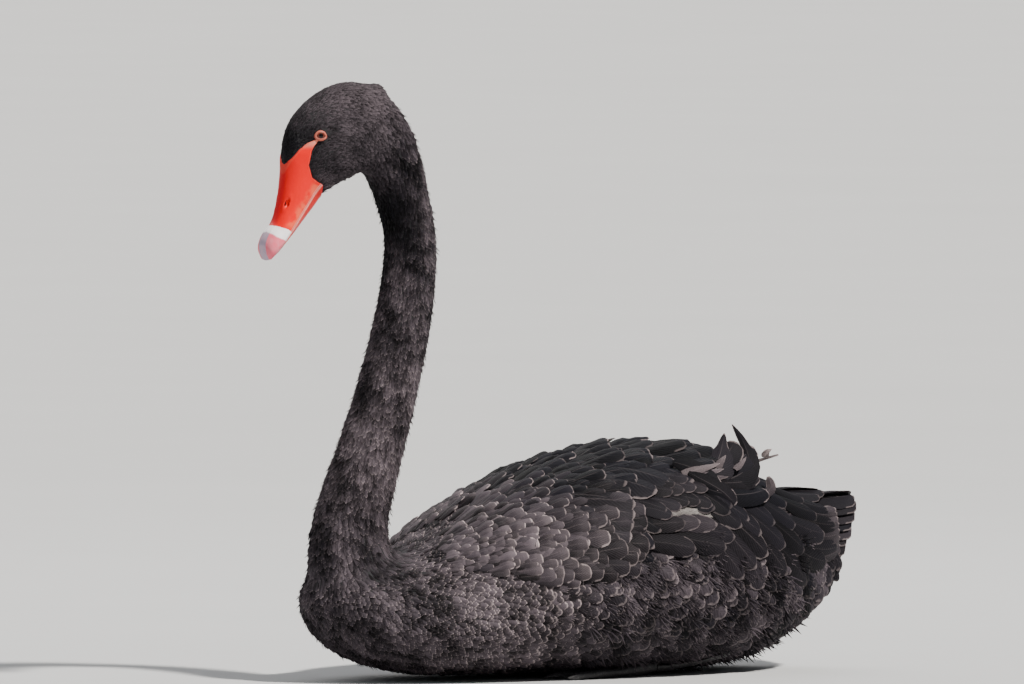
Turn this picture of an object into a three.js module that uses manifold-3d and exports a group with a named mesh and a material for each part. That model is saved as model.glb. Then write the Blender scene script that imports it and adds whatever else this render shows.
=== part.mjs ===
// A life-size black swan at rest on its belly, in millimetres.
// +Z is up, the bird faces -Y and its left side is +X.
// The origin is on the flat under the belly, in the plane of symmetry.

import * as THREE from "three";
import { mergeVertices } from "three/addons/utils/BufferGeometryUtils.js";
import Module from "manifold-3d";

const wasm = await Module();
wasm.setup();
const { Manifold, Mesh: SolidMesh } = wasm;

// Driving sizes
const GAP = 0.3; // between pieces that touch
const FAR = 400; // longer than any cut needs
const FLOOR = 0;
const TAIL_ROOT_Y = 190;
const NECK_ROOT_Z = 112; // where the neck leaves the breast
const NECK_CUT_LOW_Z = 205;
const NECK_CUT_HIGH_Z = 305;
const NECK_TOP_Z = 404; // where the head begins
const TORSO_SIDES = 24;
const NECK_SIDES = 16;
const TORSO_ROUND = 0.92; // under 1 makes a section boxier than an ellipse
const NECK_ROUND = 1;

// The torso's ribs, each in a plane across the body: heights of back and belly, and half the width.
const TORSO_RIBS = [
  { y: -296, back: 88, belly: 62, half: 16, wing: 0 },
  { y: -284, back: 100, belly: 42, half: 38, wing: 0 },
  { y: -264, back: 107, belly: 24, half: 60, wing: 0 },
  { y: -240, back: 109, belly: 12, half: 76, wing: 0 },
  { y: -200, back: 117, belly: 2, half: 97, wing: 0 },
  { y: -150, back: 138, belly: -2, half: 112, wing: 7 },
  { y: -90, back: 159, belly: -2, half: 120, wing: 13 },
  { y: -30, back: 174, belly: -2, half: 122, wing: 15 },
  { y: 30, back: 181, belly: -2, half: 119, wing: 15 },
  { y: 80, back: 177, belly: 0, half: 110, wing: 13 },
  { y: 130, back: 165, belly: 9, half: 94, wing: 9 },
  { y: 175, back: 152, belly: 31, half: 69, wing: 4 },
  { y: 215, back: 143, belly: 62, half: 42, wing: 0 },
];
const TORSO_WAIST = 0.44; // height of the widest level, as a share of the rib
const WING_WIDENS = 0.7; // how far a folded wing reaches sideways, as a share of its height

// The neck's middle line, from inside the breast to the nape, and its radius.
const NECK_LINE = [
  { y: -234, z: 54, r: 32 },
  { y: -252.5, z: 86, r: 39 },
  { y: -256, z: 122, r: 36.8 },
  { y: -249, z: 156, r: 33 },
  { y: -234.5, z: 198, r: 30 },
  { y: -218, z: 248, r: 28 },
  { y: -202, z: 307, r: 26.4 },
  { y: -195, z: 352, r: 24.8 },
  { y: -195.3, z: 385, r: 24 },
];
const NAPE = { y: -203.5, z: 416.5 }; // where the neck's line runs on into the head

// The head's ribs run from the back or crown to the throat or chin.
const HEAD_RIBS = [
  { crown: [-178.5, 421], throat: [-228.5, 411], half: 23.5 },
  { crown: [-186.5, 450], throat: [-237, 428], half: 23.8 },
  { crown: [-199.5, 478], throat: [-243.5, 434], half: 24.5 },
  { crown: [-218, 500], throat: [-250, 434.5], half: 26 },
  { crown: [-238, 511], throat: [-259, 430.5], half: 27.5 },
  { crown: [-262, 513.5], throat: [-268, 426.5], half: 28 },
  { crown: [-285, 506.5], throat: [-276, 422.5], half: 27 },
  { crown: [-304, 493.5], throat: [-283, 418.5], half: 24.5 },
  { crown: [-317, 477.5], throat: [-288.5, 413.5], half: 20.5 },
  { crown: [-322.3, 460], throat: [-292, 409], half: 17 },
  { crown: [-323, 440.5], throat: [-297, 403.5], half: 15.5 },
];
const BILL_RIBS = [
  { crown: [-324.8, 423.5], throat: [-305.5, 394.5], half: 14.3 },
  { crown: [-327.8, 407.5], throat: [-316, 383.5], half: 13.4 },
  { crown: [-332, 395], throat: [-326, 373.5], half: 13.6 },
  { crown: [-339, 387], throat: [-333, 367], half: 13.4 },
  { crown: [-343.5, 377.5], throat: [-337.5, 363.5], half: 11.4 },
  { crown: [-343, 369], throat: [-340, 362.5], half: 7 },
];

// The edge of the feathers round the bill, seen from the side.
const BILL_EDGE = [
  [-324.5, 434.5],
  [-321, 446.5],
  [-315, 456],
  [-309, 461],
  [-304, 462.3],
  [-306.5, 455],
  [-308.3, 443],
  [-304.5, 432.5],
  [-298, 428.3],
  [-292.5, 426],
  [-287, 413],
];
const BELOW_BILL = 340; // lower than the bill's tip
const BEFORE_BILL = -370; // further forward than the bill's tip
const MOUTH_LINE = [
  [-286, 439],
  [-294, 426.5],
  [-306, 408],
  [-320, 388.5],
  [-331, 374],
  [-339, 358],
];
const MOUTH_SLIT = 0.6;
const BAND_CUT = { y: -330, z: 390, tilt: 0.42, reach: 60 }; // where the pale tip of the bill begins
const NOSTRIL = { x: 9.8, y: -324, z: 411, long: 4.6, high: 1.9, deep: 3.2, turn: 0.95 };
const EYE = { x: 19.6, y: -296, z: 468, radius: 6.1 };
const EYE_GAZE = new THREE.Vector3(0.93, -0.34, 0.08).normalize();
const LID = { radius: 5.7, tube: 1.5, out: 3.1 };

// The folded wing's fleshy part, seen from the side. Its feathers reach past it.
const WING_OUTLINE = [
  [-170, 112],
  [-150, 100],
  [-60, 101],
  [40, 106],
  [100, 114],
  [150, 122],
  [176, 134],
  [176, 300],
  [-140, 300],
];
// Where the curled tertials part from the wing, and the white flight feathers below them.
const TERTIAL_ZONE = [
  [58, 400],
  [70, 158],
  [124, 151],
  [230, 151],
  [230, 400],
];
const FLIGHT_ZONE = [
  [124, 60],
  [230, 60],
  [230, 151 - GAP],
  [124, 151 - GAP],
];

// Rows of feathers on the wing. Angles are round the body from its crown, in degrees.
const COVERT_ROWS = [
  { y: -118, from: 18, to: 68, count: 5, length: 50, width: 29 },
  { y: -84, from: 13, to: 74, count: 6, length: 58, width: 31 },
  { y: -44, from: 12, to: 76, count: 6, length: 66, width: 34 },
  { y: 0, from: 12, to: 77, count: 6, length: 74, width: 36 },
  { y: 46, from: 40, to: 79, count: 4, length: 80, width: 32 },
  { y: 98, from: 12, to: 46, count: 3, length: 64, width: 38 },
];
const COVERT = {
  shares: [0, 0.4, 0.75, 0.93, 1],
  widths: [0.55, 1, 0.96, 0.62, 0.16],
  tops: [-0.6, 1.3, 2.2, 2, 1.3],
  innerEdge: -0.9,
  underside: -1.4,
};
const FLIGHT_ROW = { y: 96, from: 56, to: 82, count: 4, length: 90, width: 24 };

// Curled feathers over the rump, from the midline outwards.
const TERTIALS = [
  { y: 86, angle: 10, length: 52, width: 24, curl: 30, roll: -10 },
  { y: 52, angle: 16, length: 72, width: 26, curl: 76, roll: 20 },
  { y: 70, angle: 27, length: 62, width: 28, curl: 46, roll: -16 },
  { y: 48, angle: 36, length: 68, width: 28, curl: 60, roll: 22 },
  { y: 66, angle: 47, length: 56, width: 28, curl: 38, roll: -14 },
  { y: 60, angle: 59, length: 50, width: 26, curl: 20, roll: 14 },
];
const RIGHT_CURL = 0.15; // the far side's feathers lie flatter
const CURL_FROM = 0.3; // share of the length where the curl begins
const CURLED_VANE = {
  shares: [0, 0.25, 0.5, 0.72, 0.9, 1],
  widths: [0.3, 0.8, 1, 0.92, 0.6, 0.14],
  ridge: [2.4, 2, 1.6, 1.3, 1.1, 0.8],
  edge: 0.6,
  cup: 1.8,
};
const TAIL_VANE = {
  shares: [0, 0.5, 0.88, 1],
  widths: [0.5, 1, 0.86, 0.3],
  ridge: [2.4, 1.7, 1.3, 0.9],
  edge: 0.6,
  cup: 1.4,
};

// The tail: a fleshy cone, the envelope that its feathers keep to, and their fan.
const TAIL_CONE = [
  { crown: [216, 144], throat: [206, 61], half: 42 },
  { crown: [234, 142], throat: [216, 87], half: 22 },
];
const TAIL_ENVELOPE = [
  { crown: [222, 154], throat: [204, 44], half: 62 },
  { crown: [272, 154], throat: [232, 50], half: 66 },
];
const TAIL_FAN = {
  pairs: 8,
  root: { y: 196, x: 3, z: 140 },
  rootStep: { y: -1, x: 3.6, z: -7.6 },
  tip: { y: 263, x: 5, z: 150.5 },
  tipStep: { y: -7.2, x: 4.5, z: -10.2 },
  width: 27,
  slope: 0.12,
  slopeStep: 0.15,
  droop: 1.5,
};
const SEED = 7;
const UNEVEN = 0.5; // how far feathers differ from their row
const STAGGER = 5; // how far every other feather of a row lies back

const FOOT = { x: 62, heelY: 15, heelZ: 8, middle: 110, inner: 90, outer: 104, spread: 0.24, toe: 5.2 };
const LEG = { ankle: [70, 98, 27], thigh: [66, 84, 62], radius: 7.5 };

// A cubic through the values, with each slope taken from the neighbours.
function smoothTrack(stops, values) {
  const last = stops.length - 1;
  const slopes = stops.map((stop, i) => {
    const before = Math.max(i - 1, 0);
    const after = Math.min(i + 1, last);
    return (values[after] - values[before]) / (stops[after] - stops[before]);
  });
  return (at) => {
    let i = 0;
    while (i < last - 1 && at > stops[i + 1]) i += 1;
    const span = stops[i + 1] - stops[i];
    const t = (at - stops[i]) / span;
    const rise = t * t * (3 - 2 * t);
    const lead = t * (1 - t) * (1 - t);
    const trail = t * t * (t - 1);
    const bend = span * (lead * slopes[i] + trail * slopes[i + 1]);
    return values[i] + (values[i + 1] - values[i]) * rise + bend;
  };
}

function solidOf(geometry) {
  const bare = geometry.clone();
  bare.deleteAttribute("normal");
  bare.deleteAttribute("uv");
  const merged = mergeVertices(bare, 1e-4);
  const vertProperties = merged.attributes.position.array;
  const triVerts = new Uint32Array(merged.index.array);
  const made = new Manifold(new SolidMesh({ numProp: 3, vertProperties, triVerts }));
  if (made.volume() > 0) return made;
  for (let i = 0; i < triVerts.length; i += 3) {
    [triVerts[i + 1], triVerts[i + 2]] = [triVerts[i + 2], triVerts[i + 1]];
  }
  return new Manifold(new SolidMesh({ numProp: 3, vertProperties, triVerts }));
}

function surfaceOf(points, faces) {
  const flat = points.flatMap((p) => [p.x, p.y, p.z]);
  const geometry = new THREE.BufferGeometry();
  geometry.setAttribute("position", new THREE.Float32BufferAttribute(flat, 3));
  geometry.setIndex(faces);
  return geometry;
}

// A closed body through rings of the same number of points, with a fan over each end.
function loft(rings) {
  const sides = rings[0].length;
  const points = rings.flat();
  const faces = [];
  for (let r = 0; r + 1 < rings.length; r += 1) {
    for (let k = 0; k < sides; k += 1) {
      const a = r * sides + k;
      const b = r * sides + ((k + 1) % sides);
      faces.push(a, b, b + sides, a, b + sides, a + sides);
    }
  }
  for (const ring of [0, rings.length - 1]) {
    const middle = points.length;
    const centre = new THREE.Vector3();
    rings[ring].forEach((p) => centre.addScaledVector(p, 1 / sides));
    points.push(centre);
    for (let k = 0; k < sides; k += 1) {
      const a = ring * sides + k;
      const b = ring * sides + ((k + 1) % sides);
      faces.push(...(ring ? [a, b, middle] : [b, a, middle]));
    }
  }
  return solidOf(surfaceOf(points, faces));
}

// Ribs are sections in planes that hold the X axis, each from a crown point to a throat point.
class RibForm {
  constructor(ribs, stops, sides, waist, round) {
    const track = (pick) => smoothTrack(stops, ribs.map(pick));
    this.stops = stops;
    this.sides = sides;
    this.waist = waist;
    this.round = round;
    this.crownY = track((rib) => rib.crown[0]);
    this.crownZ = track((rib) => rib.crown[1]);
    this.throatY = track((rib) => rib.throat[0]);
    this.throatZ = track((rib) => rib.throat[1]);
    this.half = track((rib) => rib.half);
  }

  // The point at an angle from the crown, towards +X, on the form grown by a margin.
  point(at, angle, margin = 0) {
    const crown = new THREE.Vector3(0, this.crownY(at), this.crownZ(at));
    const throat = new THREE.Vector3(0, this.throatY(at), this.throatZ(at));
    const centre = throat.clone().lerp(crown, this.waist);
    const towards = Math.cos(angle) >= 0 ? crown : throat;
    const reach = towards.clone().sub(centre);
    reach.setLength(reach.length() + margin);
    const shape = (v) => Math.sign(v) * Math.abs(v) ** this.round;
    const point = centre.addScaledVector(reach, Math.abs(shape(Math.cos(angle))));
    point.x = shape(Math.sin(angle)) * (this.half(at) + margin);
    return point;
  }

  ring(at, margin) {
    const turns = Array.from({ length: this.sides }, (_, k) => (2 * Math.PI * k) / this.sides);
    return turns.map((angle) => this.point(at, angle, margin));
  }

  solid(steps, margin = 0, from = this.stops[0], to = this.stops.at(-1)) {
    const cuts = [from];
    this.stops.forEach((stop, i) => {
      const next = this.stops[i + 1] ?? stop;
      for (let k = 0; k < steps; k += 1) {
        const at = stop + ((next - stop) * k) / steps;
        if (at > cuts.at(-1) && at < to) cuts.push(at);
      }
    });
    cuts.push(to);
    return loft(cuts.map((at) => this.ring(at, margin)));
  }
}

function placed(geometry, position, rotation = new THREE.Euler()) {
  const holder = new THREE.Object3D();
  holder.position.copy(position);
  holder.rotation.copy(rotation);
  holder.updateMatrix();
  return solidOf(geometry.clone().applyMatrix4(holder.matrix));
}

// A box between two corners.
function block(low, high) {
  const size = new THREE.Vector3().subVectors(high, low);
  const middle = new THREE.Vector3().addVectors(low, high).multiplyScalar(0.5);
  return placed(new THREE.BoxGeometry(size.x, size.y, size.z), middle);
}

// Keeps what lies between two heights, or two places along the body.
const heightSlab = (low, high) =>
  block(new THREE.Vector3(-FAR, -FAR, low), new THREE.Vector3(FAR, FAR, high));
const lengthSlab = (low, high) =>
  block(new THREE.Vector3(-FAR, low, -FAR), new THREE.Vector3(FAR, high, 2 * FAR));

// An outline in the plane of symmetry, carried sideways from one x to another.
function sideways(outline, fromX, toX) {
  const shape = new THREE.Shape(outline.map(([y, z]) => new THREE.Vector2(y, z)));
  const geometry = new THREE.ExtrudeGeometry(shape, { depth: toX - fromX, bevelEnabled: false });
  geometry.applyMatrix4(new THREE.Matrix4().set(0, 0, 1, fromX, 1, 0, 0, 0, 0, 1, 0, 0, 0, 0, 0, 1));
  return solidOf(geometry);
}

// Moves each corner of an outline outwards by a margin.
function grown(outline, margin) {
  const points = outline.map(([y, z]) => new THREE.Vector2(y, z));
  const turn = THREE.ShapeUtils.isClockWise(points) ? 1 : -1;
  return points.map((point, i) => {
    const before = points[(i + points.length - 1) % points.length];
    const after = points[(i + 1) % points.length];
    const in1 = point.clone().sub(before).normalize();
    const out1 = after.clone().sub(point).normalize();
    const normal = new THREE.Vector2(-in1.y - out1.y, in1.x + out1.x).normalize();
    const share = Math.max(0.5, normal.dot(new THREE.Vector2(-in1.y, in1.x)));
    const moved = point.clone().addScaledVector(normal, (turn * margin) / share);
    return [moved.x, moved.y];
  });
}

// A strip of one width along a line, as an outline.
function strip(line, width) {
  const sides = [1, -1].map((side) =>
    line.map(([y, z], i) => {
      const [y0, z0] = line[Math.max(i - 1, 0)];
      const [y1, z1] = line[Math.min(i + 1, line.length - 1)];
      const length = Math.hypot(y1 - y0, z1 - z0);
      const shift = (side * width) / 2 / length;
      return [y - (z1 - z0) * shift, z + (y1 - y0) * shift];
    }),
  );
  return [...sides[0], ...sides[1].reverse()];
}

function largest(solid) {
  return solid.decompose().reduce((best, s) => (s.volume() > best.volume() ? s : best));
}

// Feathers
let seed = SEED;
function chance() {
  seed = (seed * 1664525 + 1013904223) % 4294967296;
  return seed / 4294967296 - 0.5;
}

const mirrored = (point, side) => new THREE.Vector3(side * point.x, point.y, point.z);

// A feather that lies on a form, with its lower edge free and its upper edge under its neighbour.
function lyingVane(form, feather, side) {
  const rings = COVERT.shares.map((share, i) => {
    const at = feather.y + share * feather.length;
    const middle = THREE.MathUtils.degToRad(feather.angle);
    const reach = form.point(at, middle + 0.1).distanceTo(form.point(at, middle - 0.1)) / 0.2;
    const half = (COVERT.widths[i] * feather.width) / 2 / reach;
    const top = COVERT.tops[i];
    return [
      form.point(at, middle - half, COVERT.innerEdge),
      form.point(at, middle, top),
      form.point(at, middle + half, top * 0.9),
      form.point(at, middle + half, COVERT.underside),
    ].map((point) => mirrored(point, side));
  });
  return loft(rings);
}

function lyingRow(form, row, shift, side) {
  const step = (row.to - row.from) / (row.count - 1);
  return Array.from({ length: row.count }, (_, k) => {
    const feather = {
      y: row.y + 6 * UNEVEN * chance() + STAGGER * (k % 2),
      angle: Math.min(row.to, row.from + step * (k + shift + UNEVEN * 0.3 * chance())),
      length: row.length * (1 + 0.12 * UNEVEN * chance()),
      width: row.width * (1 + 0.1 * UNEVEN * chance()),
    };
    return lyingVane(form, feather, side);
  });
}

// A free feather: a thin blade along a path, cupped and with a ridge for its shaft.
function freeVane(blade, frames, width, side) {
  const rings = frames.map(({ point, across, normal }, i) => {
    const half = (blade.widths[i] * width) / 2;
    const edge = (x, z) => point.clone().addScaledVector(across, x).addScaledVector(normal, z);
    const ridge = blade.ridge[i] / 2;
    const low = -blade.cup * blade.widths[i];
    return [
      edge(-half, low + blade.edge / 2),
      edge(0, ridge),
      edge(half, low + blade.edge / 2),
      edge(half, low - blade.edge / 2),
      edge(0, -ridge),
      edge(-half, low - blade.edge / 2),
    ].map((corner) => mirrored(corner, side));
  });
  return loft(rings);
}

// A tertial leaves the form's surface and curls upwards towards its tip.
function tertial(form, feather, side) {
  const angle = THREE.MathUtils.degToRad(feather.angle);
  const root = form.point(feather.y, angle, -2.5);
  const along = form.point(feather.y + 20, angle, 1).sub(root).normalize();
  const outward = form.point(feather.y, angle, 10).sub(root);
  const across = along.clone().cross(outward).normalize();
  const normal = across.clone().cross(along);
  const point = root.clone();
  let before = 0;
  const frames = CURLED_VANE.shares.map((share) => {
    const bent = Math.max(0, (share - CURL_FROM) / (1 - CURL_FROM)) ** 1.3;
    const pitch = THREE.MathUtils.degToRad(feather.curl) * bent * (side > 0 ? 1 : RIGHT_CURL);
    const run = along.clone().multiplyScalar(Math.cos(pitch)).addScaledVector(normal, Math.sin(pitch));
    point.addScaledVector(run, (share - before) * feather.length);
    before = share;
    const roll = THREE.MathUtils.degToRad(feather.roll) * share;
    const turned = across.clone().applyAxisAngle(run, roll);
    return { point: point.clone(), across: turned, normal: turned.clone().cross(run) };
  });
  return freeVane(CURLED_VANE, frames, feather.width, side);
}

// A tail feather runs straight from root to tip and droops a little.
function tailFeather(pair, side) {
  const { root, rootStep, tip, tipStep } = TAIL_FAN;
  const end = (base, step, wild) =>
    new THREE.Vector3(base.x + step.x * pair, base.y + step.y * pair + wild, base.z + step.z * pair);
  const from = end(root, rootStep, 0);
  const to = end(tip, tipStep, 4 * UNEVEN * chance());
  const slope = TAIL_FAN.slope + TAIL_FAN.slopeStep * pair;
  const along = to.clone().sub(from).normalize();
  const across = new THREE.Vector3(Math.cos(slope), 0, -Math.sin(slope));
  const normal = across.clone().cross(along).normalize();
  const frames = TAIL_VANE.shares.map((share) => {
    const point = from.clone().lerp(to, share);
    point.addScaledVector(normal, TAIL_FAN.droop * (1 - (2 * share - 1) ** 2));
    return { point, across, normal };
  });
  return freeVane(TAIL_VANE, frames, TAIL_FAN.width, side);
}

// The neck and the head are one form, and so are the torso and, with its wings folded over it, the body.
function neckRibs() {
  return NECK_LINE.map(({ y, z, r }, i) => {
    const before = NECK_LINE[Math.max(i - 1, 0)];
    const after = NECK_LINE[i + 1] ?? NAPE;
    const run = Math.hypot(after.y - before.y, after.z - before.z);
    const backY = ((after.z - before.z) / run) * r;
    const backZ = (-(after.y - before.y) / run) * r;
    return { crown: [y + backY, z + backZ], throat: [y - backY, z - backZ], half: r };
  });
}

const neckHeadRibs = [...neckRibs(), ...HEAD_RIBS, ...BILL_RIBS];
const neckHeadForm = new RibForm(
  neckHeadRibs,
  neckHeadRibs.map((_, i) => i),
  NECK_SIDES,
  0.5,
  NECK_ROUND,
);

function torsoForm(wingShare) {
  const ribs = TORSO_RIBS.map(({ y, back, belly, half, wing }) => ({
    crown: [y, back + wing * wingShare],
    throat: [y, belly],
    half: half + wing * WING_WIDENS * wingShare,
  }));
  return new RibForm(
    ribs,
    TORSO_RIBS.map((rib) => rib.y),
    TORSO_SIDES,
    TORSO_WAIST,
    TORSO_ROUND,
  );
}
const bareTorso = torsoForm(0);
const wingedTorso = torsoForm(1);

const aboveFloor = heightSlab(FLOOR, 2 * FAR);
const torsoMargin = bareTorso.solid(2, GAP);

// Head, neck and bill, cut from one form
function eyeCentre(side) {
  return new THREE.Vector3(side * EYE.x, EYE.y, EYE.z);
}

function eyeGaze(side) {
  return new THREE.Vector3(side * EYE_GAZE.x, EYE_GAZE.y, EYE_GAZE.z);
}

function eyelids(side) {
  const ring = new THREE.TorusGeometry(LID.radius, LID.tube, 5, 16);
  const facing = new THREE.Quaternion().setFromUnitVectors(new THREE.Vector3(0, 0, 1), eyeGaze(side));
  const centre = eyeCentre(side).addScaledVector(eyeGaze(side), LID.out);
  return placed(ring, centre, new THREE.Euler().setFromQuaternion(facing));
}

function eyeball(side, margin) {
  return placed(new THREE.SphereGeometry(EYE.radius + margin, 14, 9), eyeCentre(side));
}

function nostril(side) {
  const pit = new THREE.SphereGeometry(1, 12, 8).scale(NOSTRIL.deep, NOSTRIL.long, NOSTRIL.high);
  const centre = new THREE.Vector3(side * NOSTRIL.x, NOSTRIL.y, NOSTRIL.z);
  return placed(pit, centre, new THREE.Euler(NOSTRIL.turn, 0, 0));
}

function headAndBill() {
  const whole = neckHeadForm.solid(2);
  const front = [
    ...BILL_EDGE,
    [BILL_EDGE.at(-1)[0], BELOW_BILL],
    [BEFORE_BILL, BELOW_BILL],
    [BEFORE_BILL, BILL_EDGE[0][1]],
  ];
  const billZone = sideways(front, -FAR, FAR);
  const feathered = whole.subtract(sideways(grown(front, GAP), -FAR, FAR));
  const slit = sideways(strip(MOUTH_LINE, MOUTH_SLIT), -FAR, FAR);
  const halves = whole.intersect(billZone).subtract(slit).decompose();
  halves.sort((a, b) => b.volume() - a.volume());
  const [upper, lower] = halves;
  const { y, z, tilt, reach } = BAND_CUT;
  const tipZone = [
    [y - reach, z + reach * tilt],
    [y + reach, z - reach * tilt],
    [y + reach, BELOW_BILL],
    [y - reach, BELOW_BILL],
  ];
  const nail = upper.intersect(sideways(tipZone, -FAR, FAR));
  const billBody = upper.subtract(sideways(grown(tipZone, GAP), -FAR, FAR));
  const pitted = billBody.subtract(nostril(1)).subtract(nostril(-1));
  return { feathered, pitted: largest(pitted), nail: largest(nail), lower };
}

const { feathered, pitted, nail, lower } = headAndBill();

function headSolid() {
  const lids = Manifold.union([eyelids(1), eyelids(-1)]);
  const skull = feathered.intersect(heightSlab(NECK_TOP_Z + GAP, 2 * FAR)).add(lids);
  const sockets = Manifold.union([eyeball(1, GAP), eyeball(-1, GAP)]);
  return largest(skull.subtract(sockets));
}

function neckSolid(low, high) {
  return largest(feathered.intersect(heightSlab(low + GAP, high)));
}

// Body
function tailForm(ribs, firstY, margin) {
  const root = {
    crown: [firstY, bareTorso.crownZ(TAIL_ROOT_Y) + margin],
    throat: [firstY, bareTorso.throatZ(TAIL_ROOT_Y) - margin],
    half: bareTorso.half(TAIL_ROOT_Y) + margin,
  };
  const all = [root, ...ribs];
  return new RibForm(
    all,
    all.map((_, i) => i),
    TORSO_SIDES,
    TORSO_WAIST,
    TORSO_ROUND,
  );
}

function tailSolid() {
  const feathers = [];
  for (let pair = 0; pair < TAIL_FAN.pairs; pair += 1) {
    feathers.push(tailFeather(pair, 1), tailFeather(pair, -1));
  }
  const cone = tailForm(TAIL_CONE, TAIL_ROOT_Y - 1, 0).solid(1);
  const whole = Manifold.union([cone, ...feathers]);
  const envelope = tailForm(TAIL_ENVELOPE, TAIL_ROOT_Y - 1, 1).solid(1);
  return largest(whole.intersect(envelope).intersect(lengthSlab(TAIL_ROOT_Y + GAP, FAR)));
}

// Everything that lies over one side of the torso, before it is parted
function coat(side) {
  const half = side > 0 ? [GAP / 2, FAR] : [-FAR, -GAP / 2];
  const pod = wingedTorso.solid(2).intersect(sideways(WING_OUTLINE, ...half));
  const rows = [...COVERT_ROWS, FLIGHT_ROW].map((row, i) =>
    lyingRow(wingedTorso, row, (i % 2) * 0.5 - 0.25, side),
  );
  const curled = TERTIALS.map((feather) => tertial(wingedTorso, feather, side));
  const envelope = tailForm(TAIL_ENVELOPE, TAIL_ROOT_Y, 1).solid(1, GAP);
  const ownSide = block(new THREE.Vector3(half[0], -FAR, 0), new THREE.Vector3(half[1], FAR, FAR));
  return Manifold.union([pod, ...rows.flat(), ...curled])
    .intersect(ownSide)
    .subtract(torsoMargin)
    .subtract(envelope);
}

const zone = (outline, margin = 0) => sideways(margin ? grown(outline, margin) : outline, -FAR, FAR);
const coats = new Map([
  [1, coat(1)],
  [-1, coat(-1)],
]);
const tertialSolid = (side) => largest(coats.get(side).intersect(zone(TERTIAL_ZONE)));
const flightSolid = (side) => largest(coats.get(side).intersect(zone(FLIGHT_ZONE)));

function wingSolid(side) {
  const others = zone(TERTIAL_ZONE, GAP).add(zone(FLIGHT_ZONE, GAP));
  return largest(coats.get(side).subtract(others));
}

// Feet tucked under the belly
function tube(line, sides, margin = 0) {
  const points = line.map(([x, y, z]) => new THREE.Vector3(x, y, z));
  const rings = line.map(([, , , radius], i) => {
    const along = points[Math.min(i + 1, points.length - 1)].clone().sub(points[Math.max(i - 1, 0)]).normalize();
    const across = new THREE.Vector3(0, 0, 1).cross(along).normalize();
    const up = along.clone().cross(across);
    return Array.from({ length: sides }, (_, k) => {
      const angle = (2 * Math.PI * (k + 0.5)) / sides;
      const point = points[i].clone();
      point.addScaledVector(across, Math.cos(angle) * (radius + margin));
      return point.addScaledVector(up, Math.sin(angle) * (radius + margin));
    });
  });
  return loft(rings);
}

function toe(side, length, turn, margin) {
  const heel = new THREE.Vector3(side * FOOT.x, FOOT.heelY - 4, 0);
  const at = (share) => [
    heel.x + side * Math.sin(turn) * length * share,
    heel.y - Math.cos(turn) * length * share,
  ];
  const knuckle = (share, z, radius) => [...at(share), z, radius];
  const line = [
    knuckle(-0.06, FOOT.heelZ, FOOT.toe),
    knuckle(0.08, 7, FOOT.toe + 0.6),
    knuckle(0.36, 4.6, FOOT.toe - 0.8),
    knuckle(0.66, 4, FOOT.toe - 1.2),
    knuckle(0.88, 3.4, FOOT.toe - 1.8),
    knuckle(1, 2.2, 0.9),
  ];
  return tube(line, 6, margin);
}

function footWhole(side, margin = 0) {
  const toes = [
    [FOOT.inner, -FOOT.spread],
    [FOOT.middle, 0.02],
    [FOOT.outer, FOOT.spread],
  ];
  const tipOf = ([length, turn], share) => [
    side * (FOOT.x + Math.sin(turn) * length * share),
    FOOT.heelY - 4 - Math.cos(turn) * length * share,
  ];
  const edge = [
    [side * FOOT.x, FOOT.heelY - 6],
    tipOf(toes[0], 0.9),
    tipOf([(FOOT.inner + FOOT.middle) / 2, -FOOT.spread / 2], 0.78),
    tipOf(toes[1], 0.9),
    tipOf([(FOOT.outer + FOOT.middle) / 2, FOOT.spread / 2], 0.78),
    tipOf(toes[2], 0.9),
  ];
  const web = new THREE.ExtrudeGeometry(
    new THREE.Shape(edge.map(([x, y]) => new THREE.Vector2(x, y))),
    { depth: 2.4 + margin, bevelEnabled: false },
  );
  const pieces = toes.map(([length, turn]) => toe(side, length, turn, margin));
  pieces.push(placed(web, new THREE.Vector3(0, 0, FLOOR)));
  return Manifold.union(pieces).intersect(aboveFloor);
}

function legSolid(side) {
  const [ankleX, ankleY, ankleZ] = LEG.ankle;
  const [thighX, thighY, thighZ] = LEG.thigh;
  const line = [
    [side * FOOT.x, FOOT.heelY - 6, FOOT.heelZ, LEG.radius - 1.5],
    [side * FOOT.x, FOOT.heelY + 12, FOOT.heelZ + 1, LEG.radius - 1.5],
    [side * (FOOT.x + 2), FOOT.heelY + 45, 14, LEG.radius - 1.8],
    [side * ankleX, ankleY - 16, ankleZ - 6, LEG.radius],
    [side * ankleX, ankleY, ankleZ, LEG.radius + 2],
    [side * thighX, thighY, thighZ, LEG.radius + 1],
  ];
  const behindFoot = lengthSlab(FOOT.heelY + GAP, FAR);
  const spur = tube(
    [
      [side * (FOOT.x - 4), FOOT.heelY + 6, 8, 3.2],
      [side * (FOOT.x - 10), FOOT.heelY + 14, 5, 2.8],
      [side * (FOOT.x - 15), FOOT.heelY + 21, 2.6, 1.2],
    ],
    6,
  );
  const leg = tube(line, 8).add(spur).intersect(behindFoot).intersect(aboveFloor);
  return largest(leg.subtract(torsoMargin));
}

function footSolid(side) {
  return largest(footWhole(side).intersect(lengthSlab(-FAR, FOOT.heelY)));
}

function torsoSolid() {
  const neckMargin = feathered.intersect(heightSlab(NECK_ROOT_Z, 2 * FAR));
  const feet = Manifold.union([footWhole(1, GAP), footWhole(-1, GAP)]);
  const neckStub = feathered.intersect(heightSlab(-FAR, NECK_ROOT_Z));
  const trunk = bareTorso
    .solid(2)
    .intersect(lengthSlab(-FAR, TAIL_ROOT_Y))
    .add(neckStub)
    .intersect(aboveFloor);
  return largest(trunk.subtract(feet).subtract(neckMargin));
}

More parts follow.
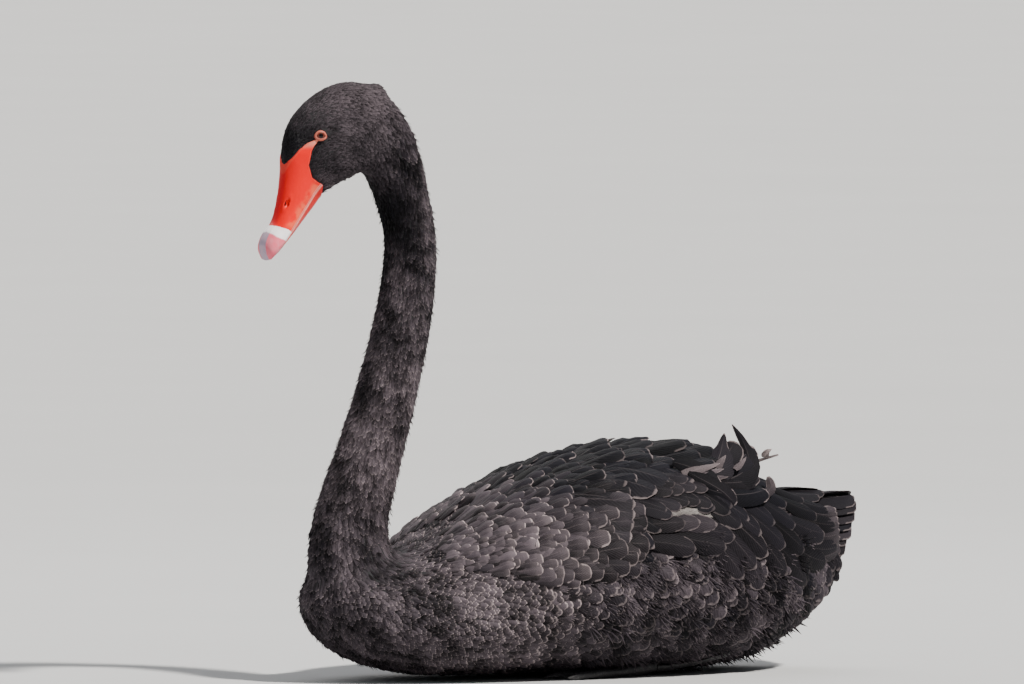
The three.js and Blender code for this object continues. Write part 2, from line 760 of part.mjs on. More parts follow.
// The scene
const finish = (roughness, color) =>
  new THREE.MeshStandardMaterial({ color, roughness, metalness: 0 });
const plumage = () => finish(0.75, 0x2b2829);
const flightWhite = () => finish(0.7, 0xd9d6d0);
const billRed = () => finish(0.35, 0xd8221c);
const nailPale = () => finish(0.4, 0xe6c9cb);
const eyeRed = () => finish(0.12, 0xb04a38);
const legSkin = () => finish(0.6, 0x2f2e30);

function node(name, solid, material) {
  const { vertProperties, triVerts } = solid.getMesh();
  const geometry = new THREE.BufferGeometry();
  geometry.setAttribute("position", new THREE.Float32BufferAttribute(vertProperties, 3));
  geometry.setIndex(new THREE.BufferAttribute(triVerts, 1));
  geometry.computeVertexNormals();
  const mesh = new THREE.Mesh(geometry, material);
  mesh.name = name;
  return mesh;
}

const swan = new THREE.Group();
const headGroup = new THREE.Group();
const bodyGroup = new THREE.Group();
swan.add(headGroup, bodyGroup);

const upperNeck = neckSolid(NECK_CUT_HIGH_Z, NECK_TOP_Z);
const middleNeck = neckSolid(NECK_CUT_LOW_Z, NECK_CUT_HIGH_Z);
const lowerNeck = neckSolid(NECK_ROOT_Z, NECK_CUT_LOW_Z);
headGroup.add(
  node("head", headSolid(), plumage()),
  node("bill_upper", pitted, billRed()),
  node("bill_nail", nail, nailPale()),
  node("bill_lower", lower, billRed()),
  node("neck_upper", upperNeck, plumage()),
  node("neck_middle", middleNeck, plumage()),
  node("neck_lower", lowerNeck, plumage()),
);
bodyGroup.add(node("torso", torsoSolid(), plumage()), node("tail", tailSolid(), plumage()));

for (const [name, side] of [
  ["left", 1],
  ["right", -1],
]) {
  headGroup.add(node(`eye_${name}`, eyeball(side, 0), eyeRed()));
  bodyGroup.add(
    node(`wing_${name}`, wingSolid(side), plumage()),
    node(`tertials_${name}`, tertialSolid(side), plumage()),
    node(`flight_${name}`, flightSolid(side), flightWhite()),
    node(`leg_${name}`, legSolid(side), legSkin()),
    node(`foot_${name}`, footSolid(side), legSkin()),
  );
}

export default swan;
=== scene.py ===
"""The looks of a life-size black swan at rest on its belly: skin, bill, eyes, feathers, feet."""

import math

import bmesh
import bpy
import numpy as np
from mathutils import Matrix, Vector


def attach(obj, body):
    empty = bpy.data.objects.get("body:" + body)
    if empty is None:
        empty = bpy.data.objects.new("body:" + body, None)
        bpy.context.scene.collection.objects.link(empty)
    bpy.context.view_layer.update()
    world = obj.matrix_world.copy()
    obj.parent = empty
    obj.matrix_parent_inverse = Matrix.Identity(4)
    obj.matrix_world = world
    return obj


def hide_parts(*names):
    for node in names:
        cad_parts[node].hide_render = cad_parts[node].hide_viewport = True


bl_info = {
    "name": "Black swan",
    "version": (1, 0, 0),
    "blender": (4, 5, 0),
    "location": "3D View > Sidebar > Swan",
    "description": "Dresses the solid model of a black swan in skin, horn and feathers",
    "category": "Add Mesh",
}

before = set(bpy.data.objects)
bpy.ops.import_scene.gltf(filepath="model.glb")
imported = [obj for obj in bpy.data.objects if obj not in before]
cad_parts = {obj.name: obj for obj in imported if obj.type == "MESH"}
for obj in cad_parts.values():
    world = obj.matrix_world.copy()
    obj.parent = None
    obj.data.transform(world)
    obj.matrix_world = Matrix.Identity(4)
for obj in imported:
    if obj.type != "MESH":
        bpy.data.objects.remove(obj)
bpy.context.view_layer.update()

MM = 0.001
BODY = "root"
SIDES = ((1, "left"), (-1, "right"))
GROUND_GAP = 0.4 * MM  # no feather reaches lower than this
CRISP_ANGLE = math.radians(50)  # edges that turn more than this stay sharp

# The body's ribs: place along the body, height of back and belly, half the width, in millimetres.
BODY_RIBS = [
    (-296, 88, 62, 16),
    (-284, 100, 42, 38),
    (-264, 107, 24, 60),
    (-240, 109, 12, 77),
    (-200, 118, 2, 98),
    (-150, 144, 0, 116),
    (-90, 171, 0, 128),
    (-30, 188, 0, 131),
    (30, 195, 0, 128),
    (80, 189, 1, 118),
    (130, 173, 9, 99),
    (175, 155, 31, 71),
    (215, 143, 62, 42),
    (234, 141, 87, 22),
]
BODY_WAIST = 0.44  # the height of the widest place, as a share of each rib's height
BODY_ROUND = 0.92  # 1 is round, and less is fuller
COAT_ON_BODY = 5.0

# The neck's middle line (y, z) and its radius.
NECK_LINE = [
    (-234, 54, 32),
    (-252.5, 86, 39),
    (-256, 122, 36.8),
    (-249, 156, 33),
    (-234.5, 198, 30),
    (-218, 248, 28),
    (-202, 307, 26.4),
    (-195, 352, 24.8),
    (-195.3, 385, 24),
]
NECK_MEETS_HEAD = (-203.5, 416.5)

# The ribs of head and bill: crown or ridge (y, z), throat or chin (y, z), half the width.
HEAD_RIBS = [
    (-178.5, 421, -228.5, 411, 23.5),
    (-186.5, 450, -237, 428, 23.8),
    (-199.5, 478, -243.5, 434, 24.5),
    (-218, 500, -250, 434.5, 26),
    (-238, 511, -259, 430.5, 27.5),
    (-262, 513.5, -268, 426.5, 28),
    (-285, 506.5, -276, 422.5, 27),
    (-304, 493.5, -283, 418.5, 24.5),
    (-317, 477.5, -288.5, 413.5, 20.5),
    (-322.3, 460, -292, 409, 17),
    (-323, 440.5, -297, 403.5, 15.5),
]
BILL_RIBS = [
    (-324.8, 423.5, -305.5, 394.5, 14.3),
    (-327.8, 407.5, -316, 383.5, 13.4),
    (-332, 395, -326, 373.5, 13.6),
    (-339, 387, -333, 367, 13.4),
    (-343.5, 377.5, -337.5, 363.5, 11.4),
    (-343, 369, -340, 362.5, 7),
]
COAT_ON_NECK = 3.1
COAT_ON_HEAD = 1.5

# The edge of the bare skin round the bill, and the mouth's line, seen from the side.
BILL_EDGE = [
    (-324.5, 434.5),
    (-321, 446.5),
    (-315, 456),
    (-309, 461),
    (-304.5, 464),
    (-300.5, 466.5),
    (-301.5, 463.5),
    (-304.5, 459.5),
    (-306.5, 455),
    (-308.3, 443),
    (-304.5, 432.5),
    (-298, 428.3),
    (-292.5, 426),
    (-287, 413),
]
PAST_BILL = [(-300, 340), (-380, 340), (-380, 439)]  # closes that edge round the whole bill
MOUTH_LINE = [(-286, 439), (-294, 426.5), (-306, 408), (-320, 388.5), (-331, 374), (-339, 358)]
BELOW_MOUTH = [(-339, 330), (-240, 330), (-240, 439)]  # closes that line round the lower bill
MOUTH_GAP = 0.7
BAND_LINE = ((-330, 390), 0.42)  # where the red ends: a point, and the fall towards the breast
NOSTRIL = (-324.5, 411)
NOSTRIL_LEAN = math.radians(20)
NOSTRIL_SIZE = (3.6, 0.9)
LORE = (16, 311, 461)  # the hollow before the eye, as distances from the middle
LOWER_BILL_WIDTH = 0.94  # as a share of the upper bill's
BEYOND = 60  # half the width of a cutting form, wider than the bill

EYE = (19.3, -298, 468)
EYE_RADIUS = 5.6
EYE_CLEARANCE = 1.0
GAZE = Vector((0.93, -0.34, 0.08)).normalized()

# The line that the plumage follows, from the bill over the neck to the tail.
PLUME_LINE = [
    (-328, 436),
    (-316, 462),
    (-294, 480),
    (-262, 482),
    (-232, 468),
    (-212, 436),
    (-201, 400),
    (-197, 352),
    (-203, 307),
    (-218, 248),
    (-235, 198),
    (-247, 156),
    (-246, 120),
    (-226, 92),
    (-190, 82),
    (-120, 84),
    (0, 88),
    (120, 96),
    (200, 108),
    (270, 118),
]


# Settings that a user would change
def colour_setting(name, description, default):
    """A colour that a user may change."""
    return bpy.props.FloatVectorProperty(
        name=name, description=description, default=default, subtype="COLOR", min=0, max=1
    )


class SwanPlumage(bpy.types.PropertyGroup):
    """Colours and sizes of the feathers"""

    dark: colour_setting("Dark feathers", "Colour of a feather's blade", (0.0054, 0.0051, 0.0082))
    brown: colour_setting(
        "Worn feathers",
        "Colour of the browner feathers on shoulder and flank",
        (0.064, 0.052, 0.060),
    )
    rim: colour_setting(
        "Feather edges", "Colour of the pale edges of wing and flank feathers", (0.40, 0.33, 0.33)
    )
    white: colour_setting(
        "Flight feathers", "Colour of the white flight feathers", (0.78, 0.75, 0.72)
    )
    finest: bpy.props.FloatProperty(
        name="Finest spacing",
        description="Distance between the smallest feathers, on the face",
        default=0.00125,
        unit="LENGTH",
    )
    skin_grain: bpy.props.FloatProperty(
        name="Skin grain",
        description="Size of the skin's facets",
        default=0.0026,
        unit="LENGTH",
    )
    seed: bpy.props.IntProperty(
        name="Seed",
        description="Start of every random draw",
        default=11,
    )


class SwanBill(bpy.types.PropertyGroup):
    """Colours of bill and eye"""

    red: colour_setting("Bill", "Colour of the bill's sides", (0.80, 0.0005, 0.001))
    crimson: colour_setting("Ridge", "Colour along the bill's upper ridge", (0.66, 0.0005, 0.008))
    band: colour_setting("Band", "Colour of the pale band near the tip", (0.96, 0.93, 0.94))
    nail: colour_setting("Nail", "Colour of the nail at the tip", (0.84, 0.15, 0.21))
    eye: colour_setting("Iris", "Colour of the iris", (0.10, 0.020, 0.012))


class SwanStudio(bpy.types.PropertyGroup):
    """Where the camera stands, and the floor"""

    azimuth: bpy.props.FloatProperty(
        name="Azimuth",
        description="Where the camera stands round the bird",
        default=math.radians(57),
        subtype="ANGLE",
    )
    elevation: bpy.props.FloatProperty(
        name="Elevation",
        description="How high the camera looks down from",
        default=math.radians(2.5),
        subtype="ANGLE",
    )
    distance: bpy.props.FloatProperty(
        name="Distance",
        description="From the camera to the bird",
        default=20.0,
        unit="LENGTH",
    )
    width: bpy.props.FloatProperty(
        name="Width in view",
        description="How much the picture's width takes in at the bird",
        default=0.8806,
        unit="LENGTH",
    )
    floor: colour_setting("Floor", "Colour of the floor and backdrop", (0.56, 0.565, 0.57))


# Node trees
def maths(operation, turned=False):
    """A method that adds one Math node; turned, the wire is its last value."""

    def method(self, *others):
        values = (*others, self) if turned else (self, *others)
        return self.net.add("ShaderNodeMath", {"operation": operation}, dict(enumerate(values)))

    return method


class Wire:
    """A socket that works like a number: its operators add Math nodes."""

    def __init__(self, net, socket):
        self.net = net
        self.socket = socket

    __add__ = maths("ADD")
    __radd__ = maths("ADD", turned=True)
    __sub__ = maths("SUBTRACT")
    __rsub__ = maths("SUBTRACT", turned=True)
    __mul__ = maths("MULTIPLY")
    __rmul__ = maths("MULTIPLY", turned=True)
    __truediv__ = maths("DIVIDE")
    __abs__ = maths("ABSOLUTE")
    sine = maths("SINE")
    at_least = maths("MAXIMUM")
    at_most = maths("MINIMUM")

    def ramp(self, low, high):
        """0 below low, 1 above high, and smooth between; low may be the larger."""
        settings = {"interpolation_type": "SMOOTHSTEP"}
        if low <= high:
            return self.net.add("ShaderNodeMapRange", settings, {0: self, 1: low, 2: high})
        inverse = self.net.add("ShaderNodeMapRange", settings, {0: self, 1: high, 2: low})
        return 1 - inverse


def enabled(sockets, key=None):
    """The socket of that name that is in use, or the first one in use."""
    return next(s for s in sockets if s.enabled and key in (None, s.name))


class Net:
    """Adds nodes to one tree."""

    def __init__(self, tree):
        self.tree = tree
        tree.nodes.clear()

    def add(self, kind, settings=None, sockets=None, output=None):
        """A node of that kind: its settings come first, then its sockets' values and links."""
        node = self.tree.nodes.new(kind)
        for name, value in (settings or {}).items():
            setattr(node, name, value)
        for key, value in (sockets or {}).items():
            socket = enabled(node.inputs, key) if isinstance(key, str) else node.inputs[key]
            if isinstance(value, Wire):
                self.tree.links.new(value.socket, socket)
            elif isinstance(value, list):
                for wire in value:
                    self.tree.links.new(wire.socket, socket)
            else:
                socket.default_value = value
        if node.outputs:
            return Wire(self, enabled(node.outputs, output))
        return None

    def mix(self, share, first, second):
        """One colour into another."""
        sockets = {"Factor": share, "A": rgba(first), "B": rgba(second)}
        return self.add("ShaderNodeMix", {"data_type": "RGBA"}, sockets, "Result")

    def scaled(self, colour, share):
        """A colour or vector times a number."""
        sockets = {0: colour if isinstance(colour, Wire) else tuple(colour[:3]), "Scale": share}
        return self.add("ShaderNodeVectorMath", {"operation": "SCALE"}, sockets)

    def noise(self, scale, detail):
        sockets = {"Scale": scale, "Detail": detail}
        sockets["Vector"] = self.add("ShaderNodeTexCoord", output="Object")
        return self.add("ShaderNodeTexNoise", {}, sockets, "Fac")

    def split(self, vector):
        kind = "ShaderNodeSeparateXYZ"
        return [self.add(kind, {}, {0: vector}, axis) for axis in ("X", "Y", "Z")]


def rgba(colour):
    """A colour as a mix takes it: a wire as it is, or four numbers."""
    if isinstance(colour, Wire):
        return colour
    return (*colour[:3], 1.0)


def material(name, paint):
    """A material whose tree is made by paint(net), which returns the shader's sockets."""
    made = bpy.data.materials.new(name)
    made.use_nodes = True
    net = Net(made.node_tree)
    shader = net.add("ShaderNodeBsdfPrincipled", {}, paint(net))
    net.add("ShaderNodeOutputMaterial", {}, {"Surface": shader})
    return made


def attribute(net, name, output="Fac"):
    return net.add("ShaderNodeAttribute", {"attribute_name": name}, {}, output)


def bump(net, height, distance, strength):
    sockets = {"Strength": strength, "Distance": distance, "Height": height}
    return net.add("ShaderNodeBump", {}, sockets)


def feather_material(name, barbs, edge_width, dark=None, rim=None, brown=None):
    """Blade, worn brown and pale edge, mixed by each feather's own attributes.

    The attributes are leaf (place across and along the feather), tone, worn and rim."""
    plumage = bpy.context.scene.swan_plumage
    dark = dark or plumage.dark
    rim = rim or plumage.rim
    brown = brown or plumage.brown

    def paint(net):
        across, along, _ = net.split(attribute(net, "leaf", "Vector"))
        side = abs(across)
        tone = attribute(net, "tone")
        worn = attribute(net, "worn")
        edge = attribute(net, "rim")
        streak = (along * barbs - side * (0.35 * barbs) + tone * 9).sine()
        fine = net.noise(900, 2)
        patch = net.noise(70, 3)
        blade = net.mix((worn * (0.55 + patch * 0.9)).at_most(1.0), dark, brown)
        blade = net.mix(worn.ramp(1.0, 2.0), blade, rim)
        shade = 0.10 + tone * 1.2 + streak * 0.16 + (fine - 0.5) * 0.8
        shade = shade + (along * along) * 0.5 - side * 0.15
        blade = net.scaled(blade, shade.at_least(0.08))
        tip = along.at_least((0.75 + side * 0.25) * along.ramp(0.45, 0.8))
        share = (worn * worn).at_most(1.0) * 0.03 + edge_width
        border = ((tip - 1 + share * (0.75 + fine * 0.5)) / (share * 0.65)).ramp(0, 1)
        glow = tip.ramp(0.6, 0.97) * 0.10 * (worn * worn).at_most(1.0)
        shaft = side.ramp(0.05, 0.015) * along.ramp(0.98, 0.8)
        worked = (border * (0.3 + tone * 0.7) + glow).at_least(shaft * 0.10) * edge
        colour = net.mix(worked.at_most(1.0), blade, rim)
        height = streak * 0.5 + fine * 0.5
        return {
            "Base Color": colour,
            "Roughness": 0.62 + border * 0.15,
            "Normal": bump(net, height, 0.00025, 0.6),
            "Specular IOR Level": 0.08,
        }

    return material(name, paint)


# Shapes
def track(stops, values):
    """A cubic through the values, with each slope taken from the neighbours."""
    stops = np.asarray(stops, float)
    values = np.asarray(values, float)
    slopes = np.gradient(values, stops, edge_order=1)
    slopes[1:-1] = (values[2:] - values[:-2]) / (stops[2:] - stops[:-2])

    def at(place):
        place = np.asarray(place, float)
        i = np.clip(np.searchsorted(stops, place, side="right") - 1, 0, len(stops) - 2)
        span = stops[i + 1] - stops[i]
        t = (place - stops[i]) / span
        rise = t * t * (3 - 2 * t)
        bend = span * (t * (1 - t) ** 2 * slopes[i] + t * t * (t - 1) * slopes[i + 1])
        return values[i] + (values[i + 1] - values[i]) * rise + bend

    return at


class RibForm:
    """A form through ribs, each in a plane that holds the X axis, in metres."""

    def __init__(self, ribs, stops, waist, roundness):
        ribs = np.asarray(ribs, float) * MM
        self.parts = [track(stops, ribs[:, k]) for k in range(5)]
        self.stops = stops
        self.waist = waist
        self.roundness = roundness

    def point(self, at, angle, margin=0.0):
        """The point at an angle from the crown towards +X, on the form grown by a margin."""
        at, angle, margin = np.broadcast_arrays(np.asarray(at, float), angle, margin)
        crown_y, crown_z, throat_y, throat_z, half = [part(at) for part in self.parts]
        centre_y = throat_y + (crown_y - throat_y) * self.waist
        centre_z = throat_z + (crown_z - throat_z) * self.waist
        up = np.cos(angle) >= 0
        reach_y = np.where(up, crown_y, throat_y) - centre_y
        reach_z = np.where(up, crown_z, throat_z) - centre_z
        length = np.hypot(reach_y, reach_z)
        share = np.abs(np.cos(angle)) ** self.roundness * (length + margin) / length
        side = np.sign(np.sin(angle)) * np.abs(np.sin(angle)) ** self.roundness
        y = centre_y + reach_y * share
        z = centre_z + reach_z * share
        return np.stack([side * (half + margin), y, z], -1)

    def frame(self, at, angle, margin=0.0):
        """Point, outward direction and rearward direction."""
        step = 1e-3
        at, angle = np.asarray(at), np.asarray(angle)
        rear = self.point(at + step, angle, margin) - self.point(at - step, angle, margin)
        turn = self.point(at, angle + step, margin) - self.point(at, angle - step, margin)
        rear = unit(rear)
        return self.point(at, angle, margin), unit(np.cross(turn, rear)), rear


def unit(vectors):
    """Vectors made one long."""
    return vectors / np.maximum(np.linalg.norm(vectors, axis=-1, keepdims=True), 1e-12)


def set_smooth(mesh, smooth=True):
    mesh.polygons.foreach_set("use_smooth", [smooth] * len(mesh.polygons))


def covered(made, finish):
    """Gives a piece one material."""
    made.data.materials.clear()
    made.data.materials.append(finish)


def linked(made):
    bpy.context.scene.collection.objects.link(made)
    return made


def copied(base, name):
    """A copy of an object, with a mesh of its own."""
    made = base.copy()
    made.data = base.data.copy()
    made.name = name
    return linked(made)


def piece(name, vertices, faces, smooth=True):
    mesh = bpy.data.meshes.new(name)
    mesh.from_pydata(np.asarray(vertices).tolist(), [], [list(map(int, f)) for f in faces])
    set_smooth(mesh, smooth)
    return linked(bpy.data.objects.new(name, mesh))


def loft_faces(rings, sides):
    """Quads between rings of points, and one face over each end."""
    ring, side = np.meshgrid(np.arange(rings - 1), np.arange(sides), indexing="ij")
    here = ring * sides + side
    beside = ring * sides + (side + 1) % sides
    quads = np.stack([here, beside, beside + sides, here + sides], -1).reshape(-1, 4)
    first = list(range(sides))[::-1]
    last = list(range((rings - 1) * sides, rings * sides))
    return [*quads.tolist(), first, last]


def loft(name, grid):
    """A closed form through rings of points."""
    rings, sides, _ = grid.shape
    made = piece(name, grid.reshape(-1, 3), loft_faces(rings, sides))
    outward(made)
    return made


def outward(made):
    """Merges doubles and turns every face to the outside."""
    work = bmesh.new()
    work.from_mesh(made.data)
    bmesh.ops.remove_doubles(work, verts=work.verts, dist=1e-6)
    work.to_mesh(made.data)
    work.free()
    turned_out(made)


def joined(name, parts):
    """Several objects made one."""
    with bpy.context.temp_override(active_object=parts[0], selected_editable_objects=parts):
        bpy.ops.object.join()
    parts[0].name = name
    return parts[0]


def applied(made):
    """The object with its modifiers made part of its mesh."""
    shown = made.evaluated_get(bpy.context.evaluated_depsgraph_get())
    ready = bpy.data.meshes.new_from_object(shown)
    old = made.data
    made.modifiers.clear()
    made.data = ready
    bpy.data.meshes.remove(old)
    return made


def remeshed(made, grain):
    """The object grown together as one even skin of small facets."""
    change = made.modifiers.new("Remesh", "REMESH")
    change.mode = "VOXEL"
    change.voxel_size = grain
    applied(made)
    set_smooth(made.data)
    return made


def fetched(items, field, width=1, kind=np.int32):
    """One field of all vertices, edges, corners or faces, as an array."""
    flat = np.empty(len(items) * width, kind)
    items.foreach_get(field, flat)
    return flat.reshape(-1, width) if width > 1 else flat


def coordinates(mesh):
    return fetched(mesh.vertices, "co", 3, np.float32).astype(float)


def set_coordinates(mesh, places):
    mesh.vertices.foreach_set("co", np.asarray(places, np.float32).ravel())
    mesh.update()


def normals(mesh):
    return fetched(mesh.vertices, "normal", 3, np.float32).astype(float)


def softened(mesh, weight, rounds):
    """Moves each vertex towards its neighbours' middle, as far as its weight says."""
    places = coordinates(mesh)
    a, b = fetched(mesh.edges, "vertices", 2).T
    count = np.bincount(np.concatenate([a, b]), minlength=len(places))[:, None]
    for _ in range(rounds):
        total = np.zeros_like(places)
        for axis in range(3):
            total[:, axis] = np.bincount(a, places[b, axis], len(places))
            total[:, axis] += np.bincount(b, places[a, axis], len(places))
        places += (total / np.maximum(count, 1) - places) * weight[:, None]
    set_coordinates(mesh, places)


def swell(values, low, high):
    """0 below low, 1 above high, smooth between."""
    t = np.clip((np.asarray(values, float) - low) / (high - low), 0, 1)
    return t * t * (3 - 2 * t)


def blended(first, second, share):
    """The first where share is 0, and the second where it is 1."""
    return first * (1 - share) + second * share


def spot(y, z, middle, reach):
    """1 at a middle in the plane of symmetry, and less around it."""
    return np.exp(-(((y - middle[0]) / reach[0]) ** 2) - ((z - middle[1]) / reach[1]) ** 2)


def around(count):
    """Angles evenly round a ring."""
    return np.linspace(0, 2 * math.pi, count, endpoint=False)


def write(mesh, name, values, domain="POINT"):
    """Stores one number, pair or vector for each point or corner."""
    values = np.asarray(values, np.float32)
    width = 1 if values.ndim == 1 else values.shape[1]
    kinds = {1: ("FLOAT", "value"), 2: ("FLOAT2", "vector"), 3: ("FLOAT_VECTOR", "vector")}
    kind, field = kinds[width]
    layer = mesh.attributes.get(name) or mesh.attributes.new(name, kind, domain)
    layer.data.foreach_set(field, values.ravel())


def write_map(mesh, corners):
    """Stores the pair for each corner as the map that the finish is baked to."""
    layer = mesh.uv_layers.new(name="OFBake")
    layer.data.foreach_set("uv", corners.astype(np.float32).ravel())


def ripple(places, size, seed, waves=7):
    """A smooth random field over places, about -1 to 1, that changes over the given size."""
    draw = np.random.default_rng(seed)
    total = np.zeros(len(places))
    for _ in range(waves):
        way = unit(draw.normal(0, 1, 3)) * 2 * math.pi / (size * draw.uniform(1.2, 3.2))
        total += np.sin(places @ way + draw.uniform(0, 2 * math.pi))
    return total / 2.6


# The plumage's line, and what each place on the skin says about its feathers
def plume_samples(count=260):
    """Places along the plume line, the way it runs there, and how far along each is from 0 to 1."""
    line = np.array(PLUME_LINE, float) * MM
    stops = np.concatenate([[0], np.cumsum(np.linalg.norm(np.diff(line, axis=0), axis=1))])
    at = np.linspace(0, stops[-1], count)
    y = track(stops, line[:, 0])(at)
    z = track(stops, line[:, 1])(at)
    places = np.stack([np.zeros(count), y, z], -1)
    return places, unit(np.gradient(places, axis=0)), at / stops[-1]


def along_plume(places, outs):
    """For each place: the way its feathers lie, and how far along the bird it is from 0 to 1."""
    samples, tangents, shares = plume_samples()
    lie = np.empty_like(places)
    share = np.empty(len(places))
    batch = 4000
    for start in range(0, len(places), batch):
        part = slice(start, start + batch)
        gap = places[part, None, :] - samples[None, :, :]
        weight = 1 / (np.einsum("ijk,ijk->ij", gap, gap) + 1e-5) ** 3
        weight /= weight.sum(1, keepdims=True)
        lie[part] = weight @ tangents
        share[part] = weight @ shares
    lie -= outs * np.einsum("ij,ij->i", lie, outs)[:, None]
    return unit(lie), share


# Where the unrolled skin lies on its map.
MAP_MIDDLE, MAP_WIDTH = 0.46, 0.84
MAP_START, MAP_LENGTH = 0.02, 0.96


def unwrap(mesh, places, share):
    """The skin unrolled: across, the angle round the plume line; up, the way along it."""
    samples, tangents, shares = plume_samples()
    nearest = np.array([np.interp(share, shares, samples[:, k]) for k in range(3)]).T
    tangent = unit(np.array([np.interp(share, shares, tangents[:, k]) for k in range(3)]).T)
    above = np.cross(np.array([1.0, 0, 0]), tangent)
    gap = places - nearest
    turn = np.arctan2(gap[:, 0], -np.einsum("ij,ij->i", gap, above)) / (2 * math.pi)
    corners = fetched(mesh.loops, "vertex_index")
    u = turn[corners]
    starts = fetched(mesh.polygons, "loop_start")
    face = np.repeat(np.arange(len(starts)), fetched(mesh.polygons, "loop_total"))
    low = np.minimum.reduceat(u, starts)[face]
    high = np.maximum.reduceat(u, starts)[face]
    u = np.where((high - low > 0.5) & (u < 0), u + 1, u)
    return np.stack([MAP_MIDDLE + MAP_WIDTH * u, MAP_START + MAP_LENGTH * share[corners]], -1)


def round_body(x, y, z):
    """The angle in degrees from the back's crown, for places in millimetres on the trunk."""
    at = [rib[0] for rib in BODY_RIBS]
    back, belly, half = (np.interp(y, at, [rib[k] for rib in BODY_RIBS]) for k in (1, 2, 3))
    middle = belly + (back - belly) * BODY_WAIST
    return np.degrees(np.arctan2(np.abs(x) / half, (z - middle) / (back - middle)))


# Feather shapes
def leaf_shape(name, rings, thickness, cup, notch=0.0):
    """A closed thin blade one unit long: each ring is its place along, half width and lift.

    A notch leaves one side of the tip shorter, as where the barbs have parted."""
    span = (-1, -0.5, 0, 0.5, 1)
    vertices = [(0, 0, rings[0][2])]
    leaf = [(0, 0, 0)]
    for along, half, lift in rings:
        for place in span:
            side = half * place * (1 - notch * (place > 0.9) * (along > 0.6))
            height = lift - cup * half * place**2 + thickness * (1 - place**2)
            vertices.append((side, along, height))
            leaf.append((place, along, 0))
        vertices.append((0, along, lift - thickness))
        leaf.append((0, along, 0))
    vertices.append((0, 1, rings[-1][2] - 0.02))
    leaf.append((0, 1, 0))
    tip = len(vertices) - 1
    count = len(span) + 1
    faces = []
    for k in range(count):
        after = (k + 1) % count
        faces.append((0, 1 + after, 1 + k))
        faces.append((tip - count + k, tip - count + after, tip))
        for ring in range(len(rings) - 1):
            base = 1 + ring * count
            faces.append((base + k, base + after, base + count + after, base + count + k))
    return feather_shape(name, vertices, faces, leaf)


def feather_shape(name, vertices, faces, leaf):
    """One feather to be repeated, with each point's place across and along it kept on it."""
    made = piece(name, vertices, faces)
    write(made.data, "leaf", leaf)
    turned_out(made)
    return made


def fine_shape(name, half, lift, thickness):
    """The smallest feather: a flat diamond of few faces."""
    vertices = [
        (0, 0, 0),
        (-half, 0.5, lift * 0.4),
        (0, 0.45, lift * 0.4 + thickness),
        (half, 0.5, lift * 0.4),
        (0, 0.5, lift * 0.4 - thickness),
        (-half * 0.55, 0.9, lift),
        (half * 0.55, 0.9, lift),
        (0, 1, lift * 0.9),
    ]
    leaf = [(np.sign(x), y, 0) for x, y, _ in vertices]
    root = [(0, 2, 1), (0, 3, 2), (0, 4, 3), (0, 1, 4)]
    blade = [(1, 2, 7, 5), (2, 3, 6, 7), (3, 4, 7, 6), (4, 1, 5, 7)]
    return feather_shape(name, vertices, root + blade, leaf)


def tuft_shape(name, prongs, spread, lift, broad=1.0):
    """A wisp of barbs: a few narrow spikes from one root."""
    vertices = []
    leaf = []
    faces = []
    for k in range(prongs):
        turn = (k / (prongs - 1) - 0.5) * spread
        length = 1 - 0.25 * abs(turn) / spread - 0.12 * (k % 2)
        start = len(vertices)
        for along, half in ((0.0, 0.05 * broad), (0.6, 0.075 * broad)):
            x = math.sin(turn) * along * length
            y = math.cos(turn) * along * length
            z = lift * along**2
            vertices += [(x - half, y, z), (x, y, z + 0.04), (x + half, y, z)]
            leaf += [(-0.5, along, 0), (0, along, 0), (0.5, along, 0)]
        vertices.append((math.sin(turn) * length, math.cos(turn) * length, lift))
        leaf.append((0, 1, 0))
        faces.append((start, start + 1, start + 2))
        for i in range(3):
            after = (i + 1) % 3
            faces.append((start + i, start + after, start + 3 + after, start + 3 + i))
            faces.append((start + 3 + i, start + 3 + after, start + 6))
    return feather_shape(name, vertices, faces, leaf)


def turned_out(made):
    """Turns every face to the outside, keeps the points, and leaves thin edges crisp."""
    work = bmesh.new()
    work.from_mesh(made.data)
    bmesh.ops.recalc_face_normals(work, faces=work.faces)
    work.to_mesh(made.data)
    work.free()
    made.data.set_sharp_from_angle(angle=CRISP_ANGLE)


def blade_grid(frames, widths, width, across_steps, thickness, cup, ragged, draw):
    """A feather along frames (point, up, across): closed, cupped, with a shaft and split edges.

    Returns its points, its faces, and each point's place across and along it."""
    shaft, vane, under = thickness * 1.6, thickness * 0.5, thickness * 0.4
    span = np.linspace(-1, 1, across_steps)
    points, ups, sides = frames
    rings = len(points)
    half = widths * width / 2
    along = np.linspace(0, 1, rings)
    top = []
    low = []
    split = 1 - ragged * np.abs(draw.normal(0, 1, (rings, 2))) * (along > 0.35)[:, None]
    for place in span:
        reach = half * place
        if abs(place) > 0.99:
            reach = reach * split[:, int(place > 0)]
        drop = -cup * half * place**2
        middle = points + sides * reach[:, None] + ups * drop[:, None]
        top.append(middle + ups * (shaft if abs(place) < 0.05 else vane))
        low.append(middle - ups * under)
    grid = np.stack([*top, *low[::-1]], 1)
    leaf_across = np.concatenate([span, span[::-1]])
    leaf = np.stack(np.broadcast_arrays(leaf_across[None, :], along[:, None], 0.0), -1)
    return grid.reshape(-1, 3), loft_faces(rings, grid.shape[1]), leaf.reshape(-1, 3)


# Laying feathers with geometry nodes
def named(net, name, kind="FLOAT_VECTOR"):
    return net.add("GeometryNodeInputNamedAttribute", {"data_type": kind}, {"Name": name})


def stored(net, geometry, name, value, kind="FLOAT", domain="POINT"):
    settings = {"data_type": kind, "domain": domain}
    sockets = {"Geometry": geometry, "Name": name, "Value": value}
    return net.add("GeometryNodeStoreNamedAttribute", settings, sockets)


